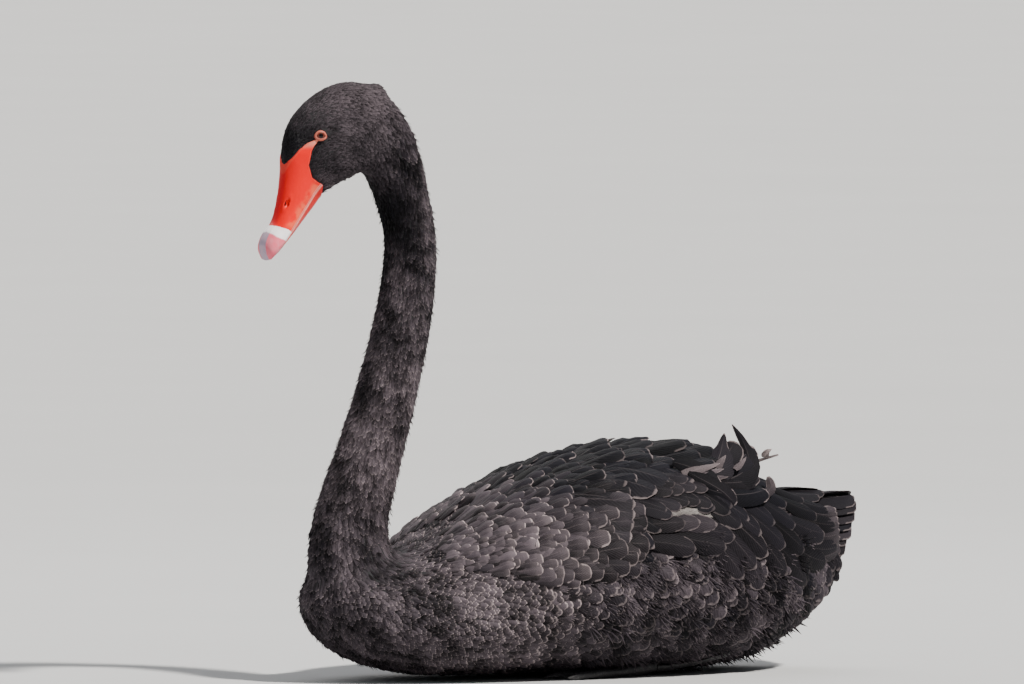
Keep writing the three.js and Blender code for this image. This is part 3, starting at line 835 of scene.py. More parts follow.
def random_between(net, low, high, seed):
    sockets = {"Min": low, "Max": high, "Seed": seed}
    return net.add("FunctionNodeRandomValue", {"data_type": "FLOAT"}, sockets)


GROWTH = (0.8, 1.2)
TONE_SPREAD = 0.42
MOST_FEATHERS = 1.2 / MM**2  # on each square metre, where nothing else holds them apart
FEATHER_INPUTS = (
    ("Feather", "NodeSocketObject"),
    ("Second feather", "NodeSocketObject"),
    ("Third feather", "NodeSocketObject"),
    ("Material", "NodeSocketMaterial"),
    ("Unruliness", "NodeSocketFloat"),
    ("Patch", "NodeSocketFloat"),
    ("Floor", "NodeSocketFloat"),
    ("Seed", "NodeSocketInt"),
)


def new_tree(name, sockets):
    """A node group with those inputs and one geometry output, its net, and its inputs' wires."""
    tree = bpy.data.node_groups.new(name, "GeometryNodeTree")
    for label, kind in sockets:
        tree.interface.new_socket(label, in_out="INPUT", socket_type=kind)
    tree.interface.new_socket("Coat", in_out="OUTPUT", socket_type="NodeSocketGeometry")
    net = Net(tree)
    group = tree.nodes.new("NodeGroupInput")
    return tree, net, {s.name: Wire(net, s) for s in group.outputs if s.name}


def lay(net, points, inputs):
    """Sets a feather on each point, along its lie, and finishes the coat's map and material."""
    seed = inputs["Seed"]
    axes = {"primary_axis": "Z", "secondary_axis": "Y"}
    facing = {"Primary Axis": named(net, "out"), "Secondary Axis": named(net, "lie")}
    rotation = net.add("FunctionNodeAxesToRotation", axes, facing)
    wild = inputs["Unruliness"]
    turns = [random_between(net, -1.0, 1.0, seed + (10 + k)) * wild for k in range(3)]
    angles = {"X": turns[0] * 0.5 + wild * 0.2, "Y": turns[1] * 0.8, "Z": turns[2]}
    turn = net.add("ShaderNodeCombineXYZ", {}, angles)
    turn = net.add("FunctionNodeEulerToRotation", {}, {0: turn})
    local = {"rotation_space": "LOCAL"}
    turning = {"Rotation": rotation, "Rotate By": turn}
    rotation = net.add("FunctionNodeRotateRotation", local, turning)
    grow = random_between(net, *GROWTH, seed + 20)
    size = net.scaled(named(net, "size"), grow)
    shapes = []
    for label in ("Feather", "Second feather", "Third feather"):
        shape = net.add("GeometryNodeObjectInfo", {}, {"Object": inputs[label]}, "Geometry")
        shapes.append(net.add("GeometryNodeGeometryToInstance", {}, {0: shape}))
    shapes = net.add("GeometryNodeJoinGeometry", {}, {0: shapes})
    choice = {"Min": 0, "Max": 2, "Seed": seed + 30}
    choice = net.add("FunctionNodeRandomValue", {"data_type": "INT"}, choice)
    sockets = {
        "Points": points,
        "Instance": shapes,
        "Pick Instance": True,
        "Instance Index": choice,
        "Rotation": rotation,
        "Scale": size,
    }
    laid = net.add("GeometryNodeInstanceOnPoints", {}, sockets)
    laid = net.add("GeometryNodeRealizeInstances", {}, {0: laid})
    leaf = net.scaled(named(net, "leaf"), inputs["Patch"])
    corner = {0: named(net, "root_uv"), 1: leaf}
    patch = net.add("ShaderNodeVectorMath", {"operation": "ADD"}, corner)
    laid = stored(net, laid, "OFBake", patch, "FLOAT2", "CORNER")
    x, y, z = net.split(net.add("GeometryNodeInputPosition"))
    lifted = net.add("ShaderNodeCombineXYZ", {}, {"X": x, "Y": y, "Z": z.at_least(inputs["Floor"])})
    laid = net.add("GeometryNodeSetPosition", {}, {"Geometry": laid, "Position": lifted})
    finish = {"Geometry": laid, "Material": inputs["Material"]}
    laid = net.add("GeometryNodeSetMaterial", {}, finish)
    net.add("NodeGroupOutput", {}, {0: laid})


def coat_tree():
    """Scatters feathers over the skin where its grain lies between two sizes."""
    tree, net, inputs = new_tree(
        "Scattered feathers",
        (
            ("Skin", "NodeSocketGeometry"),
            ("Cover", "NodeSocketString"),
            ("Spacing", "NodeSocketFloat"),
            ("Finest", "NodeSocketFloat"),
            ("Coarsest", "NodeSocketFloat"),
            *FEATHER_INPUTS,
        ),
    )
    grain = named(net, "grain", "FLOAT")
    bounds = [
        net.add("FunctionNodeCompare", {"operation": test}, {0: grain, 1: inputs[limit]})
        for test, limit in (("GREATER_EQUAL", "Finest"), ("LESS_THAN", "Coarsest"))
    ]
    chosen = net.add("FunctionNodeBooleanMath", {"operation": "AND"}, dict(enumerate(bounds)))
    sockets = {
        "Mesh": inputs["Skin"],
        "Selection": chosen,
        "Distance Min": inputs["Spacing"],
        "Density Max": MOST_FEATHERS,
        "Density Factor": named(net, inputs["Cover"], "FLOAT"),
        "Seed": inputs["Seed"],
    }
    settings = {"distribute_method": "POISSON"}
    scattered = net.add("GeometryNodeDistributePointsOnFaces", settings, sockets, "Points")
    normal = Wire(net, scattered.socket.node.outputs["Normal"])
    points = stored(net, scattered, "out", normal, "FLOAT_VECTOR")
    spread = random_between(net, -TONE_SPREAD, TONE_SPREAD, inputs["Seed"] + 5)
    tone = named(net, "tone", "FLOAT") + spread
    points = stored(net, points, "tone", tone.at_least(0.0).at_most(1.0))
    lay(net, points, inputs)
    return tree


def row_tree():
    """Sets one feather on each vertex of a mesh that holds the rows' roots."""
    sockets = (("Roots", "NodeSocketGeometry"), *FEATHER_INPUTS)
    tree, net, inputs = new_tree("Rows of feathers", sockets)
    lay(net, net.add("GeometryNodeMeshToPoints", {}, {"Mesh": inputs["Roots"]}), inputs)
    return tree


SKIN_LAYERS = ("lie", "out", "size", "root_uv", "grain", "cover", "wisps")


def without(mesh, layers):
    """Takes off what was written on a mesh only for the laying."""
    for layer in layers:
        if layer in mesh.attributes:
            mesh.attributes.remove(mesh.attributes[layer])


def grown_by(base, name, tree, values):
    """A plain mesh from that tree on a copy of the base, in a new object."""
    made = copied(base, name)
    change = made.modifiers.new("Feathers", "NODES")
    change.node_group = tree
    feathers = values.pop("Feathers")
    values |= {"Feather": feathers[0], "Second feather": feathers[1], "Third feather": feathers[2]}
    for item in tree.interface.items_tree:
        if item.in_out == "INPUT" and item.name in values:
            change[item.identifier] = values[item.name]
    applied(made)
    without(made.data, SKIN_LAYERS)
    made.data.name = name
    return made


# The bird's forms
def body_form():
    """The trunk through its ribs, by place along the body in metres."""
    ribs = [(y, back, y, belly, half) for y, back, belly, half in BODY_RIBS]
    return RibForm(ribs, [rib[0] * MM for rib in ribs], BODY_WAIST, BODY_ROUND)


def neck_ribs():
    """Ribs square to the neck's middle line."""
    line = np.array([(y, z) for y, z, _ in NECK_LINE] + [NECK_MEETS_HEAD], float)
    ribs = []
    for i, (y, z, radius) in enumerate(NECK_LINE):
        run = unit(line[i + 1] - line[max(i - 1, 0)])
        back = (y + run[1] * radius, z - run[0] * radius)
        throat = (y - run[1] * radius, z + run[0] * radius)
        ribs.append((*back, *throat, radius))
    return ribs


def head_form():
    """Neck, head and bill through their ribs, by the number of the rib."""
    ribs = [*neck_ribs(), *HEAD_RIBS, *BILL_RIBS]
    return RibForm(ribs, list(range(len(ribs))), 0.5, 1.0)


FIRST_HEAD_RIB = len(NECK_LINE)
LAST_HEAD_RIB = FIRST_HEAD_RIB + len(HEAD_RIBS) - 1


def raised(places, outs, spots):
    """Moves places outwards on both sides, round each spot: its middle, radius and height."""
    moved = places.copy()
    for middle, radius, height in spots:
        for side in (1, -1):
            centre = np.array(middle, float) * (side, 1, 1) * MM
            gap = np.linalg.norm(places - centre, axis=1) / (radius * MM)
            moved += outs * (np.exp(-gap * gap) * height * MM)[:, None]
    return moved


# The head's relief: middle, radius and height in millimetres.
HEAD_RELIEF = [
    ((19, -303, 480), 8, 1.6),  # brow
    ((17, -311, 463), 6, -2.4),  # hollow before the eye
    ((23, -283, 447), 14, 1.8),  # cheek
    ((20, -262, 436), 12, 1.2),  # jaw
    ((0, -227, 508), 9, 2.6),  # nape tuft
]


# How deep the skin lies under the plumage's surface, by the number of the neck's or head's rib.
COAT_RIBS = (2, 5, FIRST_HEAD_RIB, FIRST_HEAD_RIB + 3)
COAT_DEPTHS = (3.2, COAT_ON_NECK, 2.8, COAT_ON_HEAD)
PAST_LAST_RIB = 0.3
SKIN_FLOOR = 0.8 * MM

# Soft spots seen from the side: middle and reach.
NECK_ROOT = ((-215, 112), (55, 34))
NAPE = ((-205, 470), (20, 34))
# Where a shadow under the jaw is painted on the neck's feathers.
JAW_SHADOW = ((-224, 405), (22, 34))


def make_skin():
    """One skin over trunk, neck and head, a coat's depth under the plumage's surface."""
    body = body_form()
    turns = around(72)
    at = np.linspace(body.stops[0], body.stops[-1], 120)
    trunk = loft("trunk", body.point(at[:, None], turns[None, :], -COAT_ON_BODY * MM))
    head = head_form()
    at = np.linspace(0, LAST_HEAD_RIB + PAST_LAST_RIB, 170)
    depth = np.interp(at, COAT_RIBS, COAT_DEPTHS)
    neck = loft("neck", head.point(at[:, None], turns[None, ::2], -depth[:, None] * MM))
    skin = joined("skin", [trunk, neck])
    remeshed(skin, bpy.context.scene.swan_plumage.skin_grain)
    places = coordinates(skin.data)
    _, y, z = (places / MM).T
    softened(skin.data, np.clip(spot(y, z, *NECK_ROOT) * 1.4, 0, 1), 70)
    softened(skin.data, np.full(len(places), 0.5), 3)
    places = raised(coordinates(skin.data), normals(skin.data), HEAD_RELIEF)
    places[:, 2] = np.maximum(places[:, 2], SKIN_FLOOR)
    set_coordinates(skin.data, places)
    return skin


# Where one kind of plumage gives way to the next: from and to, in millimetres upwards (UP),
# towards the breast (FORE) or the tail (BACK), or in degrees from the back's crown (ROUND).
NECK_UP, NECK_FORE = (112, 190), (150, 195)
HEAD_UP, HEAD_FORE, CROWN_UP = (415, 440), (215, 235), (452, 470)
FACE_FORE = (262, 300)
LORE_FORE, LORE_DOWN = (297, 306), (-480, -466)
FLANK_ROUND, FLANK_BACK = (64, 80), (-130, -50)
WING_ROUND, WING_BACK = (26, 52), (-150, 96)

# Lengths of the small feathers in millimetres.
BREAST_LENGTH, NECK_LENGTH, HEAD_LENGTH, FACE_LENGTH = 9, 8.6, 4.6, 2.8
NAPE_EXTRA = 5
LEAST_GRAIN = 1.02
LOWEST_WISP = 9


def tell_skin(skin):
    """Writes on the skin how its feathers lie, how large they are and how they are coloured."""
    places = coordinates(skin.data)
    outs = normals(skin.data)
    lie, share = along_plume(places, outs)
    x, y, z = (places / MM).T
    angle = round_body(x, y, z)
    on_neck = swell(z, *NECK_UP) * swell(-y, *NECK_FORE)
    on_head = np.maximum(swell(z, *HEAD_UP) * swell(-y, *HEAD_FORE), swell(z, *CROWN_UP))
    face = on_head * swell(-y, *FACE_FORE)
    lore = on_head * swell(-y, *LORE_FORE) * swell(-z, *LORE_DOWN)
    nape = spot(y, z, *NAPE)
    # The jaw's spot marks where a shadow is painted.
    jaw = spot(y, z, *JAW_SHADOW)
    flank = swell(angle, *FLANK_ROUND) * swell(y, *FLANK_BACK) * (1 - on_neck)

    # Larger towards the flank, and smaller towards the face and the tail's root.
    length = BREAST_LENGTH + 6 * swell(y, -230, -60) + 7 * flank
    length = length + 5 * swell(y, 90, 160) - 8 * swell(y, 190, 225)
    length = blended(length, NECK_LENGTH - 1.6 * swell(z, 200, 380), on_neck)
    length = blended(length, HEAD_LENGTH, on_head)
    length = blended(length, FACE_LENGTH, face)
    length += NAPE_EXTRA * nape
    wide = 0.60 - 0.16 * on_neck + 0.04 * on_head
    write(skin.data, "size", np.stack([length * wide, length, length], -1) * MM)
    write(skin.data, "grain", np.maximum(length * (0.34 - 0.04 * on_head), LEAST_GRAIN) * MM)

    # Flank feathers hang, and those of the neck a little.
    drop = -outs * outs[:, 2:3]
    drop[:, 2] += 1
    write(skin.data, "lie", unit(lie - drop * (0.9 * flank + 0.25 * on_neck)[:, None]))

    # Nothing grows under the wing's rows, on the bill, on the eye or on the belly's flat.
    under_rows = (angle > WING_ROUND[0]) & (angle < WING_ROUND[1])
    under_rows &= (y > WING_BACK[0]) & (y < WING_BACK[1])
    bill = inside(BILL_EDGE + PAST_BILL, y, z) & (y < -284)
    eye = np.linalg.norm(np.abs(places / MM) - np.abs(EYE), axis=1) < EYE_RADIUS + EYE_CLEARANCE
    bare = bill | eye | (z < 0.9)
    write(skin.data, "cover", np.where(under_rows | bare, 0.0, 1.0))
    wisps = np.maximum(on_neck * (1 - on_head), nape) + 0.2 * flank + 0.35 * swell(-y, 180, 240)
    wisps *= 1 - swell(y, 120, 170)
    wisps = np.where(under_rows | bare | (z < LOWEST_WISP), 0.0, np.clip(wisps - face, 0, 1))
    write(skin.data, "wisps", wisps)

    # Light and dark in soft patches, browner on shoulder and crown, paler still on the crown's top
    # as painted light, pale edges on breast and neck, and a painted shadow under the jaw.
    shade = ripple(places, 0.016, 5) + 0.6 * ripple(places, 0.007, 8)
    # Under the jaw, tone, wear and pale edges are taken away as a painted shadow.
    write(skin.data, "tone", 0.5 + 0.24 * shade * (1 - 0.6 * on_head) - 0.5 * jaw)
    worn = 0.5 + 0.4 * swell(y, -250, -160) * swell(angle, 5, 50) + 0.2 * shade
    worn -= 0.55 * swell(y, -170, -60) + 0.15 * swell(y, 80, 130)
    worn = blended(worn, 0.42 + 0.45 * swell(-z, -360, -180) + 0.25 * shade, on_neck)
    # The crown's top is painted paler as painted light, over the head's own brown.
    worn = blended(worn, 0.62 + 0.3 * swell(z, 470, 505) + 0.1 * shade, on_head)
    worn -= 0.5 * lore
    write(skin.data, "worn", np.clip(worn * (1 - jaw), 0, 1))
    rim = 0.30 + 0.5 * swell(y, -265, -190) - 0.4 * swell(y, -150, -50) - 0.1 * flank
    rim = rim * (1 - on_neck) + 0.45 * on_neck * (1 - jaw)
    write(skin.data, "rim", np.clip(rim * (1 - 0.8 * on_head), 0, 1))
    corners = unwrap(skin.data, places, share)
    write(skin.data, "root_uv", corners, "CORNER")
    write_map(skin.data, corners)


def inside(outline, y, z):
    """Whether each place lies inside an outline in the plane of symmetry, in millimetres."""
    within = np.zeros(len(y), bool)
    for (y0, z0), (y1, z1) in zip(outline, [*outline[1:], outline[0]]):
        crosses = (z0 > z) != (z1 > z)
        with np.errstate(divide="ignore", invalid="ignore"):
            where = (y1 - y0) * (z - z0) / (z1 - z0) + y0
        within ^= crosses & (y < where)
    return within


def skin_material():
    """Dark skin that hardly shows between the feathers."""
    dark = bpy.context.scene.swan_plumage.dark

    def paint(net):
        cloud = net.noise(240, 4)
        return {
            "Base Color": net.scaled(dark, 0.35 + cloud * 0.5),
            "Roughness": 0.8,
            "Normal": bump(net, cloud, 0.0006, 0.6),
        }

    return material("Skin under feathers", paint)


# The coat's grades by spacing, each from one step to the next, as multiples of the finest.
COAT_STEPS = (0.8, 1.2, 1.75, 2.4, 3.3, 4.4, 9.0)
WISP_SPACING = 3.1 * MM


class SWAN_OT_skin(bpy.types.Operator):
    """Make the skin of head, neck and trunk and the small feathers that cover it"""

    bl_idname = "swan.skin"
    bl_label = "Skin and small feathers"

    def execute(self, context):
        plumage = context.scene.swan_plumage
        skin = make_skin()
        tell_skin(skin)
        tree = coat_tree()
        fine = [fine_shape(f"fine_{k}", 0.40 + 0.05 * k, 0.08 + 0.05 * k, 0.05) for k in range(3)]
        small = []
        for k in range(3):
            rings = [(0.3, 0.42 - 0.06 * k, 0.02), (0.76, 0.44, 0.05 + 0.03 * k)]
            small.append(leaf_shape(f"small_{k}", rings, 0.03, 0.2))
        body = []
        for k in range(2):
            lift = 0.02 * k
            rings = [
                (0.2, 0.34, 0.0),
                (0.5, 0.49, 0.05 + lift),
                (0.78, 0.48, 0.08 + lift),
                (0.94, 0.28, 0.07),
            ]
            body.append(leaf_shape(f"body_{k}", rings, 0.018, 0.10 + 0.08 * k, 0.3 * k))
        body.append(tuft_shape("ragged", 5, 0.95, 0.12, 1.7))
        wisps = [tuft_shape(f"wisp_{k}", 3, 0.55 + 0.25 * k, 0.10 + 0.12 * k) for k in range(3)]
        soft = feather_material("Small feathers", 40, 0.14)
        steps = plumage.finest * np.array(COAT_STEPS)
        layers = [(f"coat_{k + 1}", "cover", steps[k], steps[k], steps[k + 1]) for k in range(6)]
        layers.append(("wisps", "wisps", WISP_SPACING, 0.0, 1.0))
        for k, (name, cover, spacing, finest, coarsest) in enumerate(layers):
            values = {
                "Feathers": (fine, fine, small, small, body, body, wisps)[k],
                "Material": soft,
                "Cover": cover,
                "Spacing": float(spacing),
                "Finest": float(finest),
                "Coarsest": float(coarsest),
                "Unruliness": 0.34 if name == "wisps" else 0.10 + 0.015 * k,
                "Patch": 0.0015,
                "Floor": GROUND_GAP,
                "Seed": plumage.seed + 40 * k,
            }
            coat = grown_by(skin, name, tree, values)
            if len(coat.data.polygons) == 0:
                bpy.data.objects.remove(coat)
                continue
            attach(coat, BODY)
        without(skin.data, (*SKIN_LAYERS, "tone", "worn", "rim"))
        for spare in (*fine, *small, *body, *wisps):
            bpy.data.objects.remove(spare)
        covered(skin, skin_material())
        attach(skin, BODY)
        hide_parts("head", "neck_upper", "neck_middle", "neck_lower", "torso")
        return {"FINISHED"}


# Bill
def prism(name, outline, half):
    """An outline in the plane of symmetry, carried sideways."""
    count = len(outline)
    rim = [(side * half, y, z) for side in (1, -1) for y, z in outline]
    rim = np.array(rim, float) * MM
    made = piece(name, rim, loft_faces(2, count), smooth=False)
    outward(made)
    return made


def carved(made, tool, operation):
    """Cuts or keeps what a tool takes in, and removes the tool."""
    change = made.modifiers.new("Cut", "BOOLEAN")
    change.operation = operation
    change.object = tool
    change.solver = "EXACT"
    applied(made)
    bpy.data.objects.remove(tool)


def strip(line, width):
    """A strip of one width along a line, as an outline."""
    line = np.array(line, float)
    run = unit(np.gradient(line, axis=0))
    aside = np.stack([-run[:, 1], run[:, 0]], -1) * width / 2
    return [*map(tuple, line + aside), *map(tuple, (line - aside)[::-1])]


def distance_to_line(y, z, line):
    """How far each place is from a line of straight stretches, seen from the side."""
    best = np.full(len(y), 1e9)
    for (y0, z0), (y1, z1) in zip(line[:-1], line[1:]):
        run = np.array([y1 - y0, z1 - z0], float)
        share = np.clip(((y - y0) * run[0] + (z - z0) * run[1]) / (run @ run), 0, 1)
        best = np.minimum(best, np.hypot(y - y0 - run[0] * share, z - z0 - run[1] * share))
    return best


def from_nostril(side, y, z):
    """How many nostril sizes each place is from the slit's middle."""
    gap_y = y - NOSTRIL[0]
    gap_z = z - NOSTRIL[1]
    long = (gap_z * math.cos(NOSTRIL_LEAN) + gap_y * math.sin(NOSTRIL_LEAN)) / NOSTRIL_SIZE[0]
    short = (gap_z * math.sin(NOSTRIL_LEAN) - gap_y * math.cos(NOSTRIL_LEAN)) / NOSTRIL_SIZE[1]
    return np.where(side > 4, np.hypot(long, short), 9)


def bill_blank():
    """The bill's whole form with its bare skin, before the edges are cut."""
    head = head_form()
    at = np.linspace(LAST_HEAD_RIB - 4.2, LAST_HEAD_RIB + len(BILL_RIBS), 210)
    made = loft("bill", head.point(at[:, None], around(120)[None, :], 0.1 * MM))
    places = coordinates(made.data)
    outs = normals(made.data)
    x, y, z = (places / MM).T
    side = np.abs(x)

    # The bill is drawn in behind the nail, with a slit nostril in a low ring on each side.
    waist = np.exp(-(((z - 408) / 14) ** 2)) * np.exp(-((side - 12) / 5) ** 2)
    places -= outs * (0.9 * waist * MM)[:, None]
    ring = from_nostril(side, y, z)
    near = side > 5
    places -= outs * (np.where(near, 2.4 * np.exp(-(ring**4)), 0) * MM)[:, None]
    places += outs * (np.where(near, 0.35 * np.exp(-(((ring - 1.8) / 0.6) ** 2)), 0) * MM)[:, None]

    # The nail's edge, the lip along the mouth, and the hollow before the eye.
    ridge = np.exp(-((side - 5.2) / 0.9) ** 2) * swell(-z, -404, -384)
    places += outs * (0.35 * ridge * MM)[:, None]
    lip = distance_to_line(y, z, MOUTH_LINE)
    places += outs * (0.4 * np.exp(-(((lip - 2.0) / 1.1) ** 2)) * MM)[:, None]
    set_coordinates(made.data, places)
    hollow = np.linalg.norm(np.abs(places / MM) - LORE, axis=1) / 6
    set_coordinates(made.data, places - outs * (1.6 * np.exp(-hollow * hollow) * MM)[:, None])
    return made


def tell_bill(made):
    """Writes how far each point is from mouth, band, nostril and edge, and where the lore is."""
    x, y, z = (coordinates(made.data) / MM).T
    (band_y, band_z), fall = BAND_LINE
    write(made.data, "lip", distance_to_line(y, z, MOUTH_LINE))
    write(made.data, "band", (z - band_z + fall * (y - band_y)) / math.hypot(1, fall))
    write(made.data, "pit", from_nostril(np.abs(x), y, z))
    write(made.data, "lore", swell(z, 456, 463))
    write(made.data, "hem", distance_to_line(y, z, BILL_EDGE))


# Further tints of the bill.
SCARLET = (0.86, 0.008, 0.006)
# Painted highlight: salmon in patches above the mouth line, behind the band.
SALMON_HIGHLIGHT = (0.88, 0.16, 0.07)
LIP_FOLD = (0.88, 0.34, 0.29)
LIP_EDGE = (0.88, 0.30, 0.25)
LORE_SKIN = (0.80, 0.36, 0.25)
HEM_SKIN = (0.78, 0.10, 0.06)
# Painted shade: grey along the nail's middle, between its pink sides.
NAIL_PAINTED_SHADE = (0.44, 0.35, 0.45)
NAIL_CLOUD = (0.78, 0.42, 0.46)
# Painted shade inside the nostril's slit, which is only a shallow dent.
NOSTRIL_SHADE = (0.03, 0.004, 0.004)
LOWER_RED = (0.72, 0.004, 0.004)
LOWER_EDGE = (0.88, 0.32, 0.27)
LOWER_DARK = (0.55, 0.03, 0.02)


def bill_material():
    """Red sides under a crimson ridge, pale lip and hem, then the white band and the nail."""
    colours = bpy.context.scene.swan_bill

    def paint(net):
        place = net.add("ShaderNodeTexCoord", output="Object")
        side = abs(net.split(place)[0]) * 1000
        lip = attribute(net, "lip")
        band = attribute(net, "band")
        pit = attribute(net, "pit")
        lore = attribute(net, "lore")
        hem = attribute(net, "hem")
        cloud = net.noise(160, 3)
        mottle = net.noise(420, 3)
        grain = net.noise(2600, 2)
        red = net.mix((side + cloud * 3).ramp(3.5, 9.5), colours.crimson, colours.red)
        red = net.mix(mottle.ramp(0.45, 0.75) * 0.3, red, SCARLET)
        # Patches of painted highlight, in salmon, above the mouth line.
        patch = net.noise(110, 3)
        low = lip.ramp(11, 4.5) * band.ramp(0, 5) * patch.ramp(0.42, 0.62)
        red = net.mix(low * 0.6, red, SALMON_HIGHLIGHT)
        fold = (lip - 1.1).ramp(0.0, 0.3) * (lip - 1.1).ramp(1.0, 0.7)
        red = net.mix(fold * 0.85, red, LIP_FOLD)
        red = net.mix(lip.ramp(0.75, 0.5) * 0.8, red, LIP_EDGE)
        red = net.mix(lore * 0.75, red, LORE_SKIN)
        red = net.mix(hem.ramp(1.1, 0.2) * 0.4, red, HEM_SKIN)
        # The nail's middle is painted grey as painted shade; its sides keep their pink.
        front = side.ramp(5.8, 4.6)
        nail = net.mix(front, colours.nail, NAIL_PAINTED_SHADE)
        nail = net.mix(cloud.ramp(0.4, 0.7) * 0.3, nail, NAIL_CLOUD)
        pale = (band + side * 0.22 + cloud * 2.4).ramp(-6.2, -4.6)
        tip = net.mix(pale, nail, colours.band)
        colour = net.mix((band + (mottle - 0.5) * 1.4).ramp(-0.4, 0.5), tip, red)
        # The nostril's slit darkened as painted shade.
        colour = net.mix(pit.ramp(1.15, 0.75), colour, NOSTRIL_SHADE)
        return {
            "Base Color": colour,
            "Roughness": 0.34 + grain * 0.12 + lore * 0.2,
            "Normal": bump(net, mottle * 0.6 + grain * 0.4, 0.00022, 0.35),
            "Specular IOR Level": 0.16,
        }

    return material("Bill horn", paint)


def mandible_material():
    """Red horn with a pale edge along the mouth."""

    def paint(net):
        lip = attribute(net, "lip")
        mottle = net.noise(500, 3)
        colour = net.mix(lip.ramp(2.2, 1.0), LOWER_RED, LOWER_EDGE)
        colour = net.mix(mottle.ramp(0.4, 0.7) * 0.4, colour, LOWER_DARK)
        return {
            "Base Color": colour,
            "Roughness": 0.42,
            "Normal": bump(net, mottle, 0.0002, 0.3),
            "Specular IOR Level": 0.45,
        }

    return material("Lower bill horn", paint)


class SWAN_OT_bill(bpy.types.Operator):
    """Make the upper and lower bill with nostrils, lip, band and nail"""

    bl_idname = "swan.bill"
    bl_label = "Bill"

    def execute(self, context):
        blank = bill_blank()
        carved(blank, prism("bare_skin", BILL_EDGE + PAST_BILL, BEYOND), "INTERSECT")
        below = MOUTH_LINE + BELOW_MOUTH
        upper = blank
        upper.name = "bill_top"
        lower = copied(blank, "bill_under")
        carved(upper, prism("below_mouth", below, BEYOND), "DIFFERENCE")
        carved(lower, prism("lower_jaw", below, BEYOND), "INTERSECT")
        carved(lower, prism("mouth", strip(MOUTH_LINE, MOUTH_GAP), BEYOND), "DIFFERENCE")
        places = coordinates(lower.data)
        places[:, 0] *= LOWER_BILL_WIDTH
        set_coordinates(lower.data, places)
        for made, finish in ((upper, bill_material()), (lower, mandible_material())):
            tell_bill(made)
            set_smooth(made.data)
            made.data.set_sharp_from_angle(angle=CRISP_ANGLE)
            covered(made, finish)
            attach(made, BODY)
        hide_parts("bill_upper", "bill_nail")
        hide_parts("bill_lower")
        return {"FINISHED"}


# Eyes
def eye_frame(side):
    """Eye's middle, gaze, and the level and upright directions across it."""
    centre = np.array(EYE) * (side, 1, 1) * MM
    gaze = np.array(GAZE) * (side, 1, 1)
    level = unit(np.cross(gaze, (0, 0, 1.0)))
    level *= np.sign(level[1])
    upright = unit(np.cross(level, gaze))
    upright *= np.sign(upright[2])
    return centre, gaze, level, upright


def tell_gaze(made, centre, gaze):
    """Writes how far each point is turned from the gaze; returns the points from the middle."""
    gap = coordinates(made.data) - centre
    write(made.data, "away", np.arccos(np.clip(unit(gap) @ gaze, -1, 1)))
    return gap


def eyeball(side, name):
    """A ball with a slightly raised front."""
    centre, gaze, level, upright = eye_frame(side)
    lean = np.linspace(0, math.pi, 40)
    turns = around(56)
    radius = (EYE_RADIUS + 0.25 * np.exp(-((lean / 0.7) ** 2))) * MM
    ring = (np.sin(lean) * radius)[:, None, None]
    depth = (np.cos(lean) * radius)[:, None, None]
    out = np.cos(turns)[None, :, None] * level + np.sin(turns)[None, :, None] * upright
    places = centre + depth * gaze + ring * out
    faces = loft_faces(len(lean) - 2, len(turns))
    made = piece(f"eyeball_{name}", places[1:-1].reshape(-1, 3), faces)
    outward(made)
    gap = tell_gaze(made, centre, gaze)
    write(made.data, "turn", np.arctan2(gap @ upright, gap @ level))
    return made


# The eye's tints from the middle out, and its lids'.
PUPIL = (0.003, 0.002, 0.002)
IRIS_INNER = (0.05, 0.008, 0.006)
IRIS_RAYS = (0.26, 0.06, 0.03)
IRIS_RING = (0.03, 0.008, 0.006)
EYE_EDGE = (0.035, 0.02, 0.02)
LID_INNER = (0.36, 0.07, 0.045)
LID_MIDDLE = (0.52, 0.13, 0.085)
LID_OUTER = (0.30, 0.05, 0.035)
LID_WRINKLE = (0.50, 0.13, 0.08)


def eye_material():
    """Dark pupil, iris with fine rays and a darker ring, and the ball's dull edge."""
    iris_colour = bpy.context.scene.swan_bill.eye

    def paint(net):
        away = attribute(net, "away")
        turn = attribute(net, "turn")
        rays = (turn * 46 + net.noise(700, 2) * 8).sine()
        iris = net.mix(away.ramp(0.36, 0.55), IRIS_INNER, iris_colour)
        iris = net.mix(rays * 0.15 + 0.15, iris, IRIS_RAYS)
        iris = net.mix(away.ramp(0.56, 0.70), iris, IRIS_RING)
        colour = net.mix(away.ramp(0.30, 0.335), PUPIL, iris)
        colour = net.mix(away.ramp(0.86, 0.95), colour, EYE_EDGE)
        return {
            "Base Color": colour,
            "Roughness": 0.08,
            "Specular IOR Level": 0.3,
        }

    return material("Eye", paint)


# The lids' section: turn from the opening's edge in radians, and height over the eye.
LID_PROFILE = [
    (0.0, -0.25),
    (-0.02, 0.15),
    (0.02, 0.5),
    (0.08, 0.7),
    (0.16, 0.62),
    (0.24, 0.78),
    (0.31, 0.62),
    (0.38, 0.3),
    (0.45, -0.6),
    (0.42, -1.8),
    (0.1, -1.4),
]
LID_GAP = 0.12


def lobe(turns, middle, reach):
    """1 at one place on a ring, in degrees, and less beside it."""
    gap = np.angle(np.exp(1j * (turns - math.radians(middle))))
    return np.exp(-((gap / reach) ** 2))


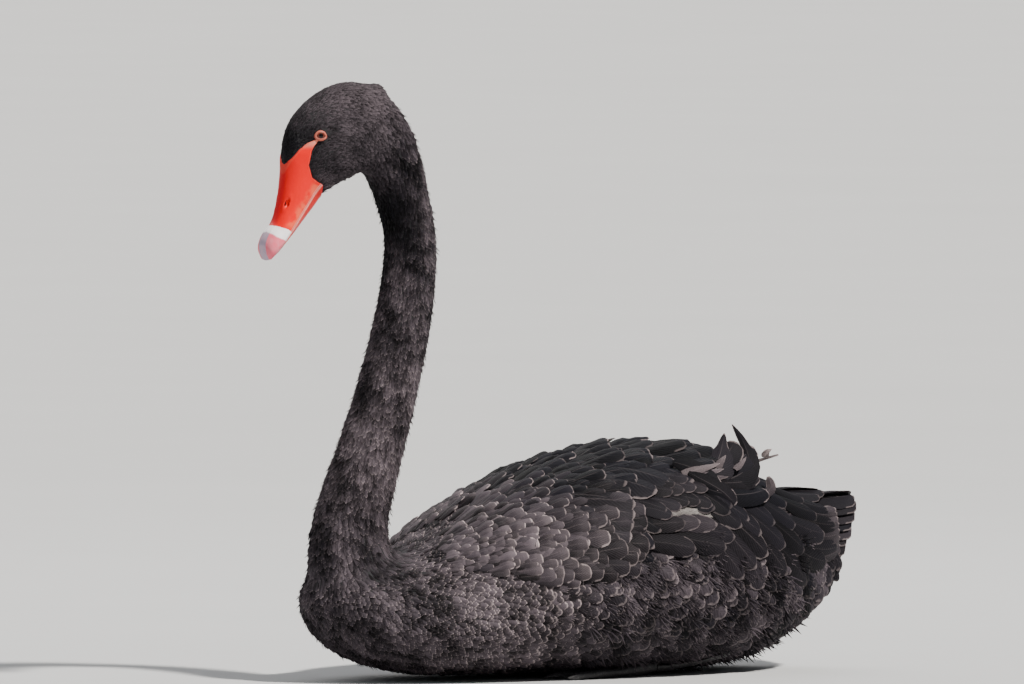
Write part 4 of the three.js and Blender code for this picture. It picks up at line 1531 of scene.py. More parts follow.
def lids(side, name):
    """A ring of skin round the eye, with two low folds, drawn out to the eye's corners."""
    centre, gaze, level, upright = eye_frame(side)
    turns = around(72)
    corner = lobe(turns, -12, 0.32)
    front = lobe(turns, 190, 0.42)
    lean = 0.54 + 0.06 * np.cos(2 * turns) + 0.26 * corner + 0.12 * front
    out = np.cos(turns)[:, None] * level + np.sin(turns)[:, None] * upright
    rings = []
    for shift, lift in LID_PROFILE:
        angle = (lean + shift * (1 + 0.35 * (corner + front)))[:, None]
        radius = (EYE_RADIUS + LID_GAP + lift) * MM
        rings.append(centre + radius * (np.cos(angle) * gaze + np.sin(angle) * out))
    grid = np.array(rings).transpose(1, 0, 2)
    count, sides, _ = grid.shape
    ring, point = np.meshgrid(np.arange(count), np.arange(sides), indexing="ij")
    after, beside = (ring + 1) % count, (point + 1) % sides
    corners = ((ring, point), (ring, beside), (after, beside), (after, point))
    faces = np.stack([r * sides + p for r, p in corners], -1).reshape(-1, 4)
    made = piece(f"eyelid_{name}", grid.reshape(-1, 3), faces)
    outward(made)
    tell_gaze(made, centre, gaze)
    return made


def lid_material():
    """Wrinkled pink skin, redder at both edges."""

    def paint(net):
        away = attribute(net, "away")
        wrinkle = net.noise(1500, 3)
        colour = net.mix(away.ramp(0.60, 0.72), LID_INNER, LID_MIDDLE)
        colour = net.mix(away.ramp(0.84, 0.98), colour, LID_OUTER)
        colour = net.mix(wrinkle.ramp(0.45, 0.7) * 0.35, colour, LID_WRINKLE)
        return {
            "Base Color": colour,
            "Roughness": 0.5,
            "Normal": bump(net, wrinkle, 0.0003, 0.5),
            "Specular IOR Level": 0.4,
        }

    return material("Eyelid skin", paint)


class SWAN_OT_eyes(bpy.types.Operator):
    """Make the eyes and their lids"""

    bl_idname = "swan.eyes"
    bl_label = "Eyes"

    def execute(self, context):
        glossy = eye_material()
        fleshy = lid_material()
        for side, name in SIDES:
            ball = eyeball(side, name)
            rims = lids(side, name)
            covered(ball, glossy)
            covered(rims, fleshy)
            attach(ball, BODY)
            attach(rims, BODY)
            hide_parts(f"eye_{name}")
        return {"FINISHED"}


# Wings
WING_ROW_COUNT = 40
MM_A_DEGREE = 2.1  # along a row, round the body
WING_MAP_TURN = 90
WING_MAP_START, WING_MAP_LENGTH = -0.20, 0.36
ROW_SPACING = 0.5  # between two feathers, as a share of their width
ROW_LIFT = -2.0  # of the roots over the plumage's surface, in millimetres
LEANS = ((3, 20, 45, 75), (0.0, 0.22, 0.32, 0.26))  # how much feathers hang, by the angle


def wing_rows():
    """Rows of coverts from the shoulder back: place, first and last angle, length, width, edge."""
    for t in np.linspace(0, 1, WING_ROW_COUNT):
        start = -192 + 132 * t + 80 * t * t
        first = 18 - 15 * swell(t, 0, 0.3)
        last = 50 + 24 * swell(t, 0, 0.4) - 52 * swell(t, 0.62, 0.72)
        yield start, first, last, 11 + 46 * t, 6.5 + 20 * t, 0.85 + 0.1 * swell(t, 0, 0.5)


def row_roots(name, side, draw, margin):
    """A mesh of the rows' roots, with what each feather needs written on it."""
    form = body_form()
    data = {"lie": [], "out": [], "size": [], "tone": [], "rim": [], "worn": [], "root_uv": []}
    roots = []
    for row, (start, first, last, length, width, rim) in enumerate(wing_rows()):
        count = round((last - first) * MM_A_DEGREE / (width * ROW_SPACING))
        shares = np.arange(count) + 0.5 * (row % 2) + draw.normal(0, 0.13, count)
        shares = shares / max(count - 1, 1)
        turn = first + (last - first) * shares
        angles = np.radians(turn)
        wave = 4.5 * np.sin(angles * 5 + 1.7 * row) + 3 * np.sin(angles * 13 + 2.3 * row)
        at = (start + draw.normal(0, 0.08, count) * length + wave) * MM
        depth = margin - 1.6 * swell(-start, 150, 190)
        here, out, rear = form.frame(at, angles, depth * MM)
        down = unit(np.cross(rear, out))
        down *= np.sign(-down[:, 2:3])
        lean = np.interp(turn, *LEANS) + draw.normal(0, 0.09, count)
        lie = unit(rear + down * lean[:, None])
        out = unit(out + down * (0.10 + draw.normal(0, 0.05, count))[:, None])
        long = length * (1 + draw.normal(0, 0.07, count))
        wide = width * (1 + draw.normal(0, 0.08, count))
        upper = 1 - swell(turn, 20, 44)
        late = swell(start, -165, -75)
        data["size"].append(np.stack([wide, long, long * draw.uniform(0.6, 1.1, count)], -1) * MM)
        data["lie"].append(lie)
        data["out"].append(out)
        tone = 0.55 - 0.3 * late - 0.18 * swell(turn, 48, 62)
        tone = tone + (0.32 - 0.1 * late) * draw.normal(0, 1, count)
        data["tone"].append(np.clip(tone, 0, 1))
        rims = rim - 0.25 * late - 0.15 * upper * late + draw.normal(0, 0.2, count)
        data["rim"].append(np.clip(rims, 0.1, 1))
        worn = 0.96 - 0.64 * late - 0.65 * upper * (0.3 + 0.7 * late)
        worn = worn + (0.22 - 0.14 * late) * draw.normal(0, 1, count)
        data["worn"].append(np.clip(worn, 0, 1))
        patch = [turn / WING_MAP_TURN, (at - WING_MAP_START) / WING_MAP_LENGTH, at * 0]
        data["root_uv"].append(np.stack(patch, -1))
        roots.append(here)
    for key, values in data.items():
        data[key] = np.concatenate(values)
    roots = np.concatenate(roots)
    if side < 0:
        roots[:, 0] *= -1
        for key in ("lie", "out"):
            data[key][:, 0] *= -1
    made = piece(name, roots, [])
    for key, values in data.items():
        write(made.data, key, values)
    return made


# Single feathers on shoulder and flank: root and tip as place along the body and angle from the
# back's crown, width, sideways bow, lift of the tip, wear and edge.
SINGLE_FEATHERS = [
    (12, 4, 64, 18, 32, 2, 2.6, 0.0, 0.26),
    (2, 8, 60, 28, 34, 3, 3.0, 0.0, 0.33),
    (-8, 14, 54, 38, 36, 4, 3.2, 0.02, 0.33),
    (-22, 16, 34, 45, 36, 5, 3.0, 0.02, 0.39),
    (-46, 18, 8, 45, 37, 6, 4.2, 0.05, 0.52),
    (-62, 24, -10, 49, 34, 6, 4.4, 0.07, 0.59),
    (-88, 20, -31, 40, 33, 5, 4.0, 0.11, 0.52),
    (-96, 30, -44, 50, 31, 5, 3.4, 0.16, 0.59),
    (-92, 36, -36, 53, 33, 6, 5.0, 0.23, 0.65),
    (-95, 42, -40, 58, 33, 6, 4.4, 0.23, 0.65),
    (-98, 48, -45, 63, 32, 6, 3.8, 0.23, 0.65),
    (-101, 54, -49, 68, 31, 6, 3.2, 0.23, 0.65),
    (-104, 60, -54, 74, 30, 5, 2.6, 0.23, 0.65),
    (-52, 42, -10, 61, 17, 3, 1.4, 0.0, 0.59),
    (-60, 48, -18, 68, 18, 3, 1.0, 0.0, 0.59),
    (-66, 54, -28, 75, 18, 3, 0.6, 0.05, 0.45),
    (-38, 48, -8, 59, 17, 2, 3.6, 0.14, 0.33),
    (-26, 48, 8, 58.5, 17, 2, 3.6, 0.18, 0.33),
    (-14, 48, 18, 56.5, 17, 2, 3.6, 0.18, 0.33),
    (-4, 48, 30, 56.5, 17, 2, 3.6, 0.18, 0.33),
    (6, 48, 42, 58.5, 17, 2, 3.6, 0.14, 0.33),
    (-26, 42, 6, 50, 17, 2, 4.4, 0.27, 0.33),
    (-14, 42, 18, 50, 17, 2, 4.4, 0.32, 0.39),
    (-2, 41, 32, 49, 17, 2, 4.4, 0.23, 0.33),
    (8, 41, 44, 50, 17, 2, 4.4, 0.27, 0.33),
    (-22, 38, 12, 46, 17, 2, 5.0, 0.18, 0.33),
    (-4, 36, 28, 44, 18, 2, 5.0, 0.18, 0.26),
    (-44, 62.5, 8, 65.5, 17, 2, 2.6, 0.3, 0.33),
    (-34, 62.5, 24, 66, 17, 2, 2.4, 0.42, 0.33),
    (-26, 63, 42, 67.5, 18, 2, 2.4, 0.4, 0.33),
    (-36, 71, 14, 78, 20, 2, 2.0, 0.23, 0.33),
    (-10, 71, 48, 78, 22, 3, 1.8, 0.18, 0.33),
    (-2, 66, 60, 73, 20, 3, 1.9, 0.16, 0.33),
    (-2, 42, 44, 60, 28, 4, 2.6, 0.02, 0.2),
    (16, 40, 66, 58, 30, 4, 2.2, 0.05, 0.2),
    (28, 46, 82, 64, 30, 5, 2.4, 0.05, 0.33),
    (36, 52, 94, 70, 30, 6, 2.6, 0.09, 0.39),
    (44, 58, 98, 80, 28, 9, 3.2, 0.14, 0.65),
    (34, 64, 82, 86, 26, 6, 2.6, 0.2, 0.45),
    (22, 70, 66, 90, 24, 5, 2.4, 0.23, 0.39),
    (52, 70, 92, 94, 26, 7, 2.0, 0.23, 0.39),
    (62, 46, 118, 62, 28, 4, 1.6, 0.05, 0.2),
    (72, 56, 126, 74, 28, 5, 1.8, 0.09, 0.26),
    (78, 66, 124, 88, 26, 6, 2.2, 0.14, 0.39),
    (96, 46, 150, 60, 26, 3, 1.4, 0.05, 0.2),
    (104, 58, 156, 76, 26, 4, 1.6, 0.09, 0.26),
    (110, 72, 158, 94, 24, 5, 1.8, 0.14, 0.2),
    (80, 22, 142, 30, 30, 2, 2.0, 0.0, 0.2),
    (96, 8, 160, 10, 30, 0, 2.0, 0.0, 0.2),
    (88, 34, 150, 44, 28, 3, 2.0, 0.0, 0.2),
    (128, 20, 190, 26, 28, 2, 2.0, 0.05, 0.26),
    (134, 38, 194, 46, 26, 3, 2.0, 0.05, 0.26),
    (136, 56, 196, 66, 24, 4, 2.2, 0.09, 0.26),
    (138, 74, 194, 88, 24, 4, 2.2, 0.09, 0.26),
    (150, 4, 214, 5, 26, 0, 2.0, 0.0, 0.26),
    (160, 30, 218, 36, 24, 2, 2.2, 0.05, 0.33),
    (164, 52, 220, 60, 22, 3, 2.4, 0.09, 0.33),
    (166, 74, 218, 84, 22, 3, 2.4, 0.09, 0.33),
    (-38, 52, -4, 62, 16, 1, 4.0, 0.1, 0.3),
    (18, 44, 60, 62, 24, 3, 3.4, 0.05, 0.3),
    (26, 50, 70, 68, 24, 4, 3.0, 0.1, 0.4),
]
# Narrow worn ones beside the tail's root, one under the other.
SINGLE_FEATHERS += [
    (178 + 4 * (k % 2), 34 + 8 * k, 231 - k, 41 + 8 * k, 13, 3, 2.6, 0.45 + 0.1 * (k % 3), 0.6)
    for k in range(7)
]
SINGLE_WIDTHS = ([0, 0.15, 0.4, 0.7, 0.86, 0.95, 1], [0.3, 0.62, 0.92, 1, 0.86, 0.56, 0.12])
SINGLE_RINGS = 16
SINGLE_ROOT_LIFT = -1.5  # of a root over the plumage's surface, in millimetres


class SWAN_OT_wings(bpy.types.Operator):
    """Lay the coverts of both folded wings in rows, and the larger shoulder and flank feathers"""

    bl_idname = "swan.wings"
    bl_label = "Wings"

    def execute(self, context):
        plumage = context.scene.swan_plumage
        draw = np.random.default_rng(plumage.seed)
        shapes = []
        for k, (cup, notch) in enumerate(((0.14, 0.0), (0.26, 0.0), (0.20, 0.25))):
            rings = [
                (0.06, 0.16, -0.02),
                (0.22, 0.36, 0.0),
                (0.42, 0.48, 0.03),
                (0.62, 0.52, 0.05 + 0.02 * k),
                (0.80, 0.52, 0.06 + 0.02 * k),
                (0.91, 0.45, 0.06),
                (0.975, 0.29, 0.05),
            ]
            shapes.append(leaf_shape(f"covert_{k}", rings, 0.008, cup, notch))
        finish = feather_material("Wing coverts", 90, 0.048)
        tree = row_tree()
        single = {
            "widths": width_profile(*SINGLE_WIDTHS, SINGLE_RINGS),
            "across_steps": 9,
            "thickness": 0.35 * MM,
            "cup": 0.22,
            "ragged": 0.025,
        }
        for side, name in SIDES:
            roots = row_roots(f"roots_{name}", side, draw, ROW_LIFT)
            values = {
                "Feathers": shapes,
                "Material": finish,
                "Unruliness": 0.10,
                "Patch": 0.011,
                "Floor": GROUND_GAP,
                "Seed": plumage.seed + side,
            }
            laid = grown_by(roots, f"coverts_{name}", tree, values)
            bpy.data.objects.remove(roots)
            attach(laid, BODY)
            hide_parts(f"wing_{name}")
            feathers = []
            for *ends, width, bow, lift, worn, edge in SINGLE_FEATHERS:
                lifts = (SINGLE_ROOT_LIFT, lift)
                frames = laid_frames(ends[:2], ends[2:], bow, lifts, side, SINGLE_RINGS)
                shape = single | {"width": width * MM}
                tone = draw.uniform(0.05, 0.55)
                feathers.append(long_feather(frames, shape, draw, tone, edge, worn))
            bunch(f"shoulder_{name}", feathers, finish)
        for shape in shapes:
            bpy.data.objects.remove(shape)
        return {"FINISHED"}


# Long feathers made one by one
def long_feather(frames, shape, draw, tone, rim, worn):
    """One long feather's points, faces and what is written on them."""
    points, faces, leaf = blade_grid(frames, **shape, draw=draw)
    return {
        "points": points,
        "faces": faces,
        "leaf": leaf,
        "tone": np.full(len(points), tone),
        "rim": np.full(len(points), rim),
        "worn": np.full(len(points), worn),
    }


def bunch(name, feathers, finish):
    """Joins long feathers into one piece, each with its own patch of the map."""
    points = np.concatenate([f["points"] for f in feathers])
    starts = np.cumsum([0] + [len(f["points"]) for f in feathers[:-1]])
    faces = [[v + start for v in face] for f, start in zip(feathers, starts) for face in f["faces"]]
    made = piece(name, points, faces)
    for key in ("leaf", "tone", "rim", "worn"):
        write(made.data, key, np.concatenate([f[key] for f in feathers]))
    columns = math.ceil(math.sqrt(len(feathers)))
    owner = np.repeat(np.arange(len(feathers)), [len(f["points"]) for f in feathers])
    leaf = np.concatenate([f["leaf"] for f in feathers])
    u = (owner % columns + 0.5 + 0.45 * leaf[:, 0]) / columns
    v = (owner // columns + 0.04 + 0.92 * leaf[:, 1]) / columns
    corners = fetched(made.data.loops, "vertex_index")
    write_map(made.data, np.stack([u, v], -1)[corners])
    outward(made)
    covered(made, finish)
    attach(made, BODY)
    return made


def width_profile(stops, values, rings):
    """A feather's width at each ring, as a share of its widest, from values at a few stops."""
    return track(stops, values)(np.linspace(0, 1, rings))


def laid_frames(root, tip, bow, lifts, side, rings):
    """A feather laid on the body from root to tip (place, angle), bowed downwards between them."""
    form = body_form()
    share = np.linspace(0, 1, rings)
    at = (root[0] + (tip[0] - root[0]) * share) * MM
    turn = root[1] + (tip[1] - root[1]) * share**1.4 + bow * share * (1 - share)
    lift = lifts[0] + (lifts[1] - lifts[0]) * share**0.8
    here, out, _ = form.frame(at, np.radians(turn), lift * MM)
    run = unit(np.gradient(here, axis=0))
    wide = unit(np.cross(run, out))
    up = unit(np.cross(wide, run))
    flip = np.array([side, 1, 1])
    return here * flip, up * flip, wide * flip


def bent_frames(path, facing, rings, side=1):
    """A feather along a path of points, its upper face turned the way it is facing."""
    path = np.array(path, float)
    stops = np.concatenate([[0], np.cumsum(np.linalg.norm(np.diff(path, axis=0), axis=1))])
    at = np.linspace(0, stops[-1], rings)
    points = np.stack([track(stops, path[:, k])(at) for k in range(3)], -1) * MM
    run = unit(np.gradient(points, axis=0))
    wide = unit(np.cross(run, np.array(facing, float)))
    up = unit(np.cross(wide, run))
    flip = np.array([side, 1, 1])
    return points * flip, up * flip, wide * flip


# How wide a feather is along its length: stops from root to tip, and the share of its width.
BROAD = ([0, 0.12, 0.35, 0.6, 0.82, 0.94, 1], [0.2, 0.5, 0.9, 1, 0.92, 0.7, 0.3])
POINTED = ([0, 0.2, 0.5, 0.8, 1], [0.7, 1, 0.8, 0.42, 0.04])
STEM = ([0, 0.5, 1], [1, 0.8, 0.5])
HORN = ([0, 0.2, 0.45, 0.68, 0.8, 0.9, 1], [0.4, 0.8, 1, 0.62, 0.3, 0.2, 0.03])

# Curled feathers of the left side: path, width, the way the width runs, and wear.
CURLS = [
    # broad blades that stand up, two of them ending in dark horns
    ([(90, 47, 167), (80, 82, 168), (66, 110, 179), (58, 111, 195), (50, 103, 213)], 29, HORN, 0.1),
    ([(84, 50, 173), (76, 67, 177), (64, 82, 190), (56, 91, 206)], 34, HORN, 0.15),
    ([(88, 44, 168), (74, 68, 178), (63, 92, 191), (59, 99, 199)], 28, BROAD, 0.1),
    ([(86, 53, 168), (72, 84, 175), (60, 110, 187), (56, 117, 195)], 28, BROAD, 0.05),
    ([(84, 52, 173), (78, 74, 173), (66, 101, 176), (58, 119, 185)], 20, BROAD, 0.3),
    ([(94, 45, 166), (92, 65, 165), (80, 94, 165), (64, 119, 170)], 18, BROAD, 0.2),
    # pale ones before them
    ([(86, 28, 174), (89, 50, 179), (87, 66, 182)], 9, POINTED, 1.3),
    ([(87, 29, 171), (90, 53, 175), (87, 70, 177)], 10, POINTED, 1.15),
    ([(88, 31, 168), (90, 57, 170), (86, 75, 170)], 10, POINTED, 1.0),
    ([(76, 68, 176), (75, 75, 183), (72, 82, 188)], 8, POINTED, 1.25),
    ([(80, 86, 176), (78, 94, 181), (75, 101, 186)], 6, POINTED, 1.25),
    # dark blades below, and a small one that curls at their end
    ([(101, 43, 161), (100, 64, 156), (92, 92, 155), (76, 121, 157)], 24, BROAD, 0),
    ([(84, 103, 154), (76, 120, 154), (70, 130, 159), (64, 131, 168)], 9, BROAD, 0.9),
    # a bare stem with a little down on it
    ([(58, 118, 180), (56, 132, 183), (54, 148, 186)], 3.4, STEM, 1.4),
    ([(56, 132, 184), (56, 135, 189), (56, 140, 191)], 7, POINTED, 2.0),
    # drooping ones at their foot
    ([(88, 33, 175), (96, 46, 167), (101, 60, 158), (104, 71, 147)], 18, BROAD, 0.1),
    ([(80, 22, 184), (84, 38, 179), (92, 49, 170), (100, 55, 159)], 20, BROAD, 0.05),
    ([(14, 50, 191), (16, 74, 187), (18, 96, 178), (18, 114, 168)], 26, BROAD, 0),
    ([(34, 54, 187), (38, 74, 182), (40, 94, 174), (40, 108, 166)], 26, BROAD, 0),
]
CURLS_FACE = (0.72, -0.5, 0.48)
CURLS_RINGS = 18

# The right side's lie flat: root and tip as place and angle, and width.
FLAT_CURLS = [
    (30, 8, 104, 14, 28),
    (38, 18, 112, 24, 28),
    (34, 28, 108, 36, 28),
    (28, 38, 100, 48, 28),
]
FLAT_CURLS_LIFTS = (-1, 4)  # of root and tip over the plumage's surface, in millimetres


class SWAN_OT_curls(bpy.types.Operator):
    """Make the curled feathers over the left of the rump, and the flat ones on the right"""

    bl_idname = "swan.curls"
    bl_label = "Curled feathers"

    def execute(self, context):
        draw = np.random.default_rng(context.scene.swan_plumage.seed + 1)
        finish = feather_material("Curled feathers", 130, 0.03)
        shape = {"across_steps": 9, "thickness": 0.4 * MM, "cup": 0.25, "ragged": 0.05}
        feathers = []
        for path, width, profile, worn in CURLS:
            frames = bent_frames(path, CURLS_FACE, CURLS_RINGS)
            size = {"widths": width_profile(*profile, CURLS_RINGS), "width": width * MM}
            tone = draw.uniform(0.15, 0.65)
            feathers.append(long_feather(frames, shape | size, draw, tone, 0.7, worn))
        made = bunch("curls_left", feathers, finish)
        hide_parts("tertials_left")
        feathers = []
        for *ends, width in FLAT_CURLS:
            frames = laid_frames(ends[:2], ends[2:], 0, FLAT_CURLS_LIFTS, -1, CURLS_RINGS)
            size = {"widths": width_profile(*BROAD, CURLS_RINGS), "width": width * MM}
            feathers.append(long_feather(frames, shape | size, draw, draw.random(), 0.5, 0.2))
        made = bunch("curls_right", feathers, finish)
        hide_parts("tertials_right")
        return {"FINISHED"}


# White flight feathers: the angle of root and tip, and how far back each ends.
FLIGHT = [(60, 53, 176), (60.5, 56, 168), (61, 59, 158), (61.5, 62, 146), (62, 65, 132)]
FLIGHT_WIDTHS = ([0, 0.1, 0.5, 0.85, 1], [0.5, 0.85, 1, 0.8, 0.1])
FLIGHT_RINGS = 22
FLIGHT_WORN = (0.30, 0.27, 0.26)


class SWAN_OT_flight(bpy.types.Operator):
    """Make the white flight feathers, which show only in a slit under the wing's hind edge"""

    bl_idname = "swan.flight"
    bl_label = "Flight feathers"

    def execute(self, context):
        plumage = context.scene.swan_plumage
        draw = np.random.default_rng(plumage.seed + 2)
        colours = (plumage.white, plumage.white, FLIGHT_WORN)
        finish = feather_material("White flight feathers", 150, 0.03, *colours)
        shape = {
            "widths": width_profile(*FLIGHT_WIDTHS, FLIGHT_RINGS),
            "width": 9 * MM,
            "across_steps": 7,
            "thickness": 0.5 * MM,
            "cup": 0.2,
            "ragged": 0.01,
        }
        for side, name in SIDES:
            feathers = []
            for k, (root_turn, tip_turn, tip_y) in enumerate(FLIGHT):
                ends = (-12 + 3 * k, root_turn), (tip_y, tip_turn)
                lifts = (1.4 - 0.3 * k, -4.5)
                frames = laid_frames(*ends, 0, lifts, side, FLIGHT_RINGS)
                tone = draw.uniform(0.2, 0.4)
                feathers.append(long_feather(frames, shape, draw, tone, 0.3, 0.9))
            made = bunch(f"primaries_{name}", feathers, finish)
            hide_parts(f"flight_{name}")
        return {"FINISHED"}


# Tail: how many pairs, and the middle pair's root and tip with the step to each next pair.
TAIL = {
    "pairs": 13,
    "root": (3, 190, 139),
    "root_step": (2.3, -0.7, -4.7),
    "tip": (5, 262, 146),
    "tip_step": (3.0, -4.8, -6.8),
    "tip_bow": 6,
    "width": 29,
    "slope": 0.55,
    "slope_step": 0.045,
}
TAIL_WIDTHS = ([0, 0.2, 0.6, 0.88, 0.96, 1], [0.5, 0.85, 1, 0.88, 0.55, 0.1])
TAIL_RINGS = 18

# The feathers over the tail's root: where each starts and ends on the left.
TAIL_COVERTS = [
    ((4, 148, 147), (5, 227, 150)),
    ((12, 146, 146), (15, 216, 147)),
    ((20, 146, 143), (25, 206, 140)),
]
COVERT_RISE = (0, 0, 2.5)
COVERT_FACE = (0.45, 0, 1)


def tail_frames(pair, side, draw):
    """One feather of the fan, counted from the middle."""
    step = pair + draw.normal(0, 0.06)
    root = np.array(TAIL["root"]) + np.array(TAIL["root_step"]) * step
    tip = np.array(TAIL["tip"]) + np.array(TAIL["tip_step"]) * step
    tip += draw.normal(0, 1, 3) * (0.6, 1.4, 0.8)
    tip[1] += TAIL["tip_bow"] * math.sin(math.pi * pair / TAIL["pairs"])
    slope = TAIL["slope"] + TAIL["slope_step"] * step
    share = np.linspace(0, 1, TAIL_RINGS)[:, None]
    run = unit(tip - root)
    across = np.array([math.cos(slope), -0.35 * math.sin(slope), -math.sin(slope)])
    across = unit(across - run * (across @ run))
    up = unit(np.cross(across, run))
    points = root + (tip - root) * share + up * (1.6 * (1 - (2 * share - 1) ** 2))
    flip = np.array([side, 1, 1])
    spread = np.ones((TAIL_RINGS, 1))
    return points * MM * flip, up * flip * spread, across * flip * spread


class SWAN_OT_tail(bpy.types.Operator):
    """Make the tail's fan and the coverts over its root"""

    bl_idname = "swan.tail"
    bl_label = "Tail"

    def execute(self, context):
        plumage = context.scene.swan_plumage
        draw = np.random.default_rng(plumage.seed + 3)
        finish = feather_material("Tail feathers", 150, 0.03)
        shape = {
            "widths": width_profile(*TAIL_WIDTHS, TAIL_RINGS),
            "width": TAIL["width"] * MM,
            "across_steps": 9,
            "thickness": 0.45 * MM,
            "cup": 0.16,
            "ragged": 0.03,
        }
        covert = shape | {"widths": width_profile(*BROAD, TAIL_RINGS), "width": 24 * MM}
        feathers = []
        for pair in reversed(range(TAIL["pairs"])):
            for side, _ in SIDES:
                frames = tail_frames(pair, side, draw)
                worn = 0.3 * draw.random()
                tone = draw.uniform(0.1, 0.6)
                feathers.append(long_feather(frames, shape, draw, tone, 0.35, worn))
        for root, tip in TAIL_COVERTS:
            middle = (np.array(root) + tip) / 2 + COVERT_RISE
            for side, _ in SIDES:
                frames = bent_frames([root, middle, tip], COVERT_FACE, TAIL_RINGS, side)
                feathers.append(long_feather(frames, covert, draw, 0.25, 0.3, 0.1))
        made = bunch("tail_fan", feathers, finish)
        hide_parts("tail")
        return {"FINISHED"}


# Feet
FOOT_GRAIN = 0.9 * MM
FOOT_PALE = (0.055, 0.052, 0.055)
FOOT_DARK = (0.018, 0.017, 0.019)


def foot_material():
    """Dark skin in small scales, paler between them."""

    def paint(net):
        place = net.add("ShaderNodeTexCoord", output="Object")
        scales = net.add("ShaderNodeTexVoronoi", {}, {"Vector": place, "Scale": 520.0}, "Distance")
        wrinkle = net.noise(900, 3)
        colour = net.mix(scales.ramp(0.1, 0.5), FOOT_PALE, FOOT_DARK)
        return {
            "Base Color": net.scaled(colour, 0.7 + wrinkle * 0.6),
            "Roughness": 0.55,
            "Normal": bump(net, scales * 0.7 + wrinkle * 0.3, 0.0006, 0.6),
            "Specular IOR Level": 0.45,
        }

    return material("Foot skin", paint)


class SWAN_OT_feet(bpy.types.Operator):
    """Round off the legs and webbed feet and give them scaly skin"""

    bl_idname = "swan.feet"
    bl_label = "Feet"

    def execute(self, context):
        finish = foot_material()
        for name in ("leg_left", "leg_right", "foot_left", "foot_right"):
            made = copied(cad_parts[name], f"skin_of_{name}")
            made.parent = None
            outward(made)
            remeshed(made, FOOT_GRAIN)
            softened(made.data, np.full(len(made.data.vertices), 0.5), 4)
            covered(made, finish)
            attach(made, BODY)
            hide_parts(name)
        return {"FINISHED"}


# Studio
CAMERA_SENSOR = 36
CAMERA_SIGHT = 300
FLOOR_HALF = 60

# A point on the flank, and how far to its right and above it the picture's middle lies.
FLANK_POINT = (0, 0, 0.072)
MIDDLE_ASIDE = -0.0757
MIDDLE_ABOVE = 0.2124
BIRD_MIDDLE = Vector((0, -0.05, 0.2))

# Lights: where each comes from, as right, towards the camera and up; its width, strength, colour.
SUNS = {
    "key": ((0.75, 0.62, 1.15), math.radians(5), 6.8, (1.0, 0.96, 0.90)),
    "far": ((-0.5, -1.0, 0.9), math.radians(45), 1.1, (1.0, 0.97, 0.94)),
}
LAMPS = {
    "fill": ((-1.8, 1.9, 1.0), 2.2, 5, (0.85, 0.92, 1.0)),
    "rim": ((0.4, -1.7, 1.9), 1.4, 12, (0.95, 0.97, 1.0)),
}
SKY = {"Color": (0.83, 0.86, 0.9, 1), "Strength": 0.24}


def add_light(name, kind, place, towards, settings):
    """A light that shines from one direction: a round lamp at its place, or a sun."""
    light = bpy.data.lights.new(name, kind)
    for setting, value in settings.items():
        setattr(light, setting, value)
    made = linked(bpy.data.objects.new(name, light))
    made.location = place
    made.rotation_euler = towards.to_track_quat("Z", "Y").to_euler()


def floor_material():
    """Matt pale floor with faint clouds."""
    colour = bpy.context.scene.swan_studio.floor

    def paint(net):
        cloud = net.noise(3, 3)
        return {
            "Base Color": net.scaled(colour, 0.97 + cloud * 0.06),
            "Roughness": 0.9,
            "Specular IOR Level": 0.2,
        }

    return material("Studio floor", paint)


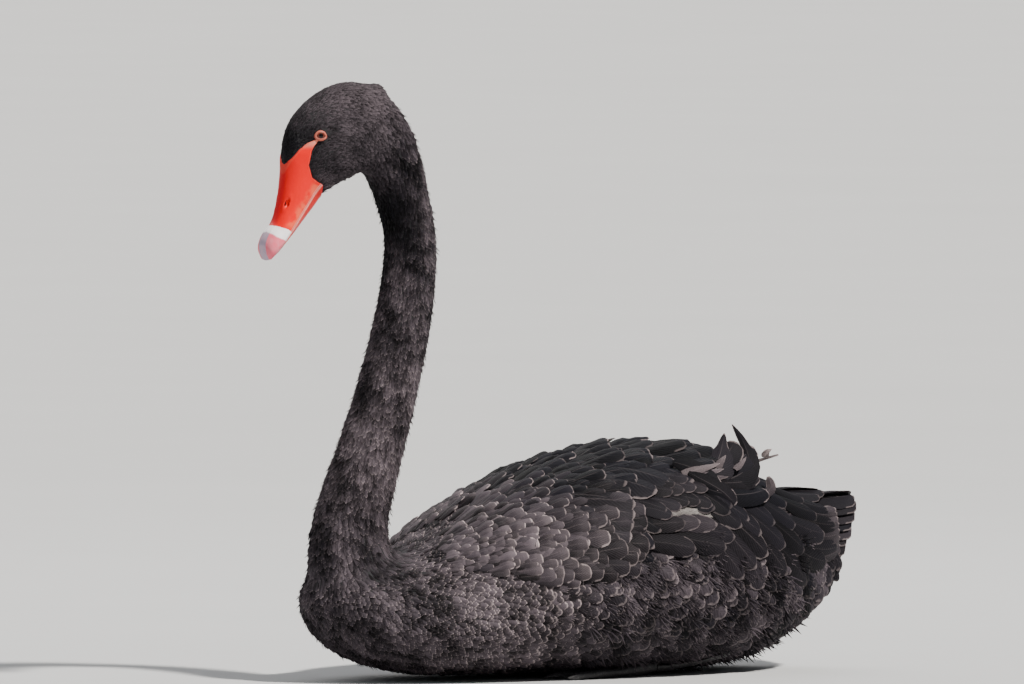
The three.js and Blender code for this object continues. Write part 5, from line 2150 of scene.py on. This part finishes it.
class SWAN_OT_studio(bpy.types.Operator):
    """Set the camera, the soft lights and the floor"""

    bl_idname = "swan.studio"
    bl_label = "Studio"

    def execute(self, context):
        studio = context.scene.swan_studio
        turn, rise = studio.azimuth, studio.elevation
        level = Vector((math.sin(turn), -math.cos(turn), 0))
        back = level * math.cos(rise) + Vector((0, 0, math.sin(rise)))
        right = Vector((math.cos(turn), math.sin(turn), 0))
        up = back.cross(right)
        target = Vector(FLANK_POINT) + right * MIDDLE_ASIDE + up * MIDDLE_ABOVE
        lens = bpy.data.cameras.new("camera")
        lens.sensor_width = CAMERA_SENSOR
        lens.lens = CAMERA_SENSOR * studio.distance / studio.width
        lens.clip_end = CAMERA_SIGHT
        camera = linked(bpy.data.objects.new("camera", lens))
        camera.location = target + back * studio.distance
        camera.rotation_euler = Matrix((right, up, back)).transposed().to_euler()
        context.scene.camera = camera
        for name, ((aside, near, high), angle, power, colour) in SUNS.items():
            towards = right * aside + back * near + Vector((0, 0, high))
            settings = {"angle": angle, "energy": power, "color": colour}
            add_light(name, "SUN", (0, 0, 0), towards, settings)
        for name, ((aside, near, high), size, power, colour) in LAMPS.items():
            towards = right * aside + back * near + Vector((0, 0, high))
            settings = {"shape": "DISK", "size": size, "energy": power, "color": colour}
            add_light(name, "AREA", BIRD_MIDDLE + towards, towards, settings)
        world = bpy.data.worlds.new("world")
        world.use_nodes = True
        net = Net(world.node_tree)
        sky = net.add("ShaderNodeBackground", {}, SKY)
        net.add("ShaderNodeOutputWorld", {}, {"Surface": sky})
        context.scene.world = world
        square = ((-1, -1), (1, -1), (1, 1), (-1, 1))
        corners = [(x * FLOOR_HALF, y * FLOOR_HALF, 0) for x, y in square]
        floor = piece("floor", corners, [(0, 1, 2, 3)])
        covered(floor, floor_material())
        return {"FINISHED"}


class SWAN_PT_panel(bpy.types.Panel):
    """Lists the swan's pieces"""

    bl_idname = "SWAN_PT_panel"
    bl_label = "Black swan"
    bl_space_type = "VIEW_3D"
    bl_region_type = "UI"
    bl_category = "Swan"

    def draw(self, context):
        for group in SETTINGS:
            settings = getattr(context.scene, group)
            box = self.layout.box()
            for name in settings.__annotations__:
                box.prop(settings, name)
        for operator in OPERATORS:
            self.layout.operator(operator.bl_idname)


SETTINGS = {"swan_plumage": SwanPlumage, "swan_bill": SwanBill, "swan_studio": SwanStudio}
OPERATORS = [
    SWAN_OT_skin,
    SWAN_OT_bill,
    SWAN_OT_eyes,
    SWAN_OT_wings,
    SWAN_OT_flight,
    SWAN_OT_curls,
    SWAN_OT_tail,
    SWAN_OT_feet,
    SWAN_OT_studio,
]


def register():
    for kind in (*SETTINGS.values(), *OPERATORS, SWAN_PT_panel):
        bpy.utils.register_class(kind)
    for name, kind in SETTINGS.items():
        setattr(bpy.types.Scene, name, bpy.props.PointerProperty(type=kind))


def unregister():
    for name in SETTINGS:
        delattr(bpy.types.Scene, name)
    for kind in (SWAN_PT_panel, *reversed(OPERATORS), *SETTINGS.values()):
        bpy.utils.unregister_class(kind)


def main():
    register()
    for operator in OPERATORS:
        group, name = operator.bl_idname.split(".")
        getattr(getattr(bpy.ops, group), name)()


if __name__ == "__main__":
    main()
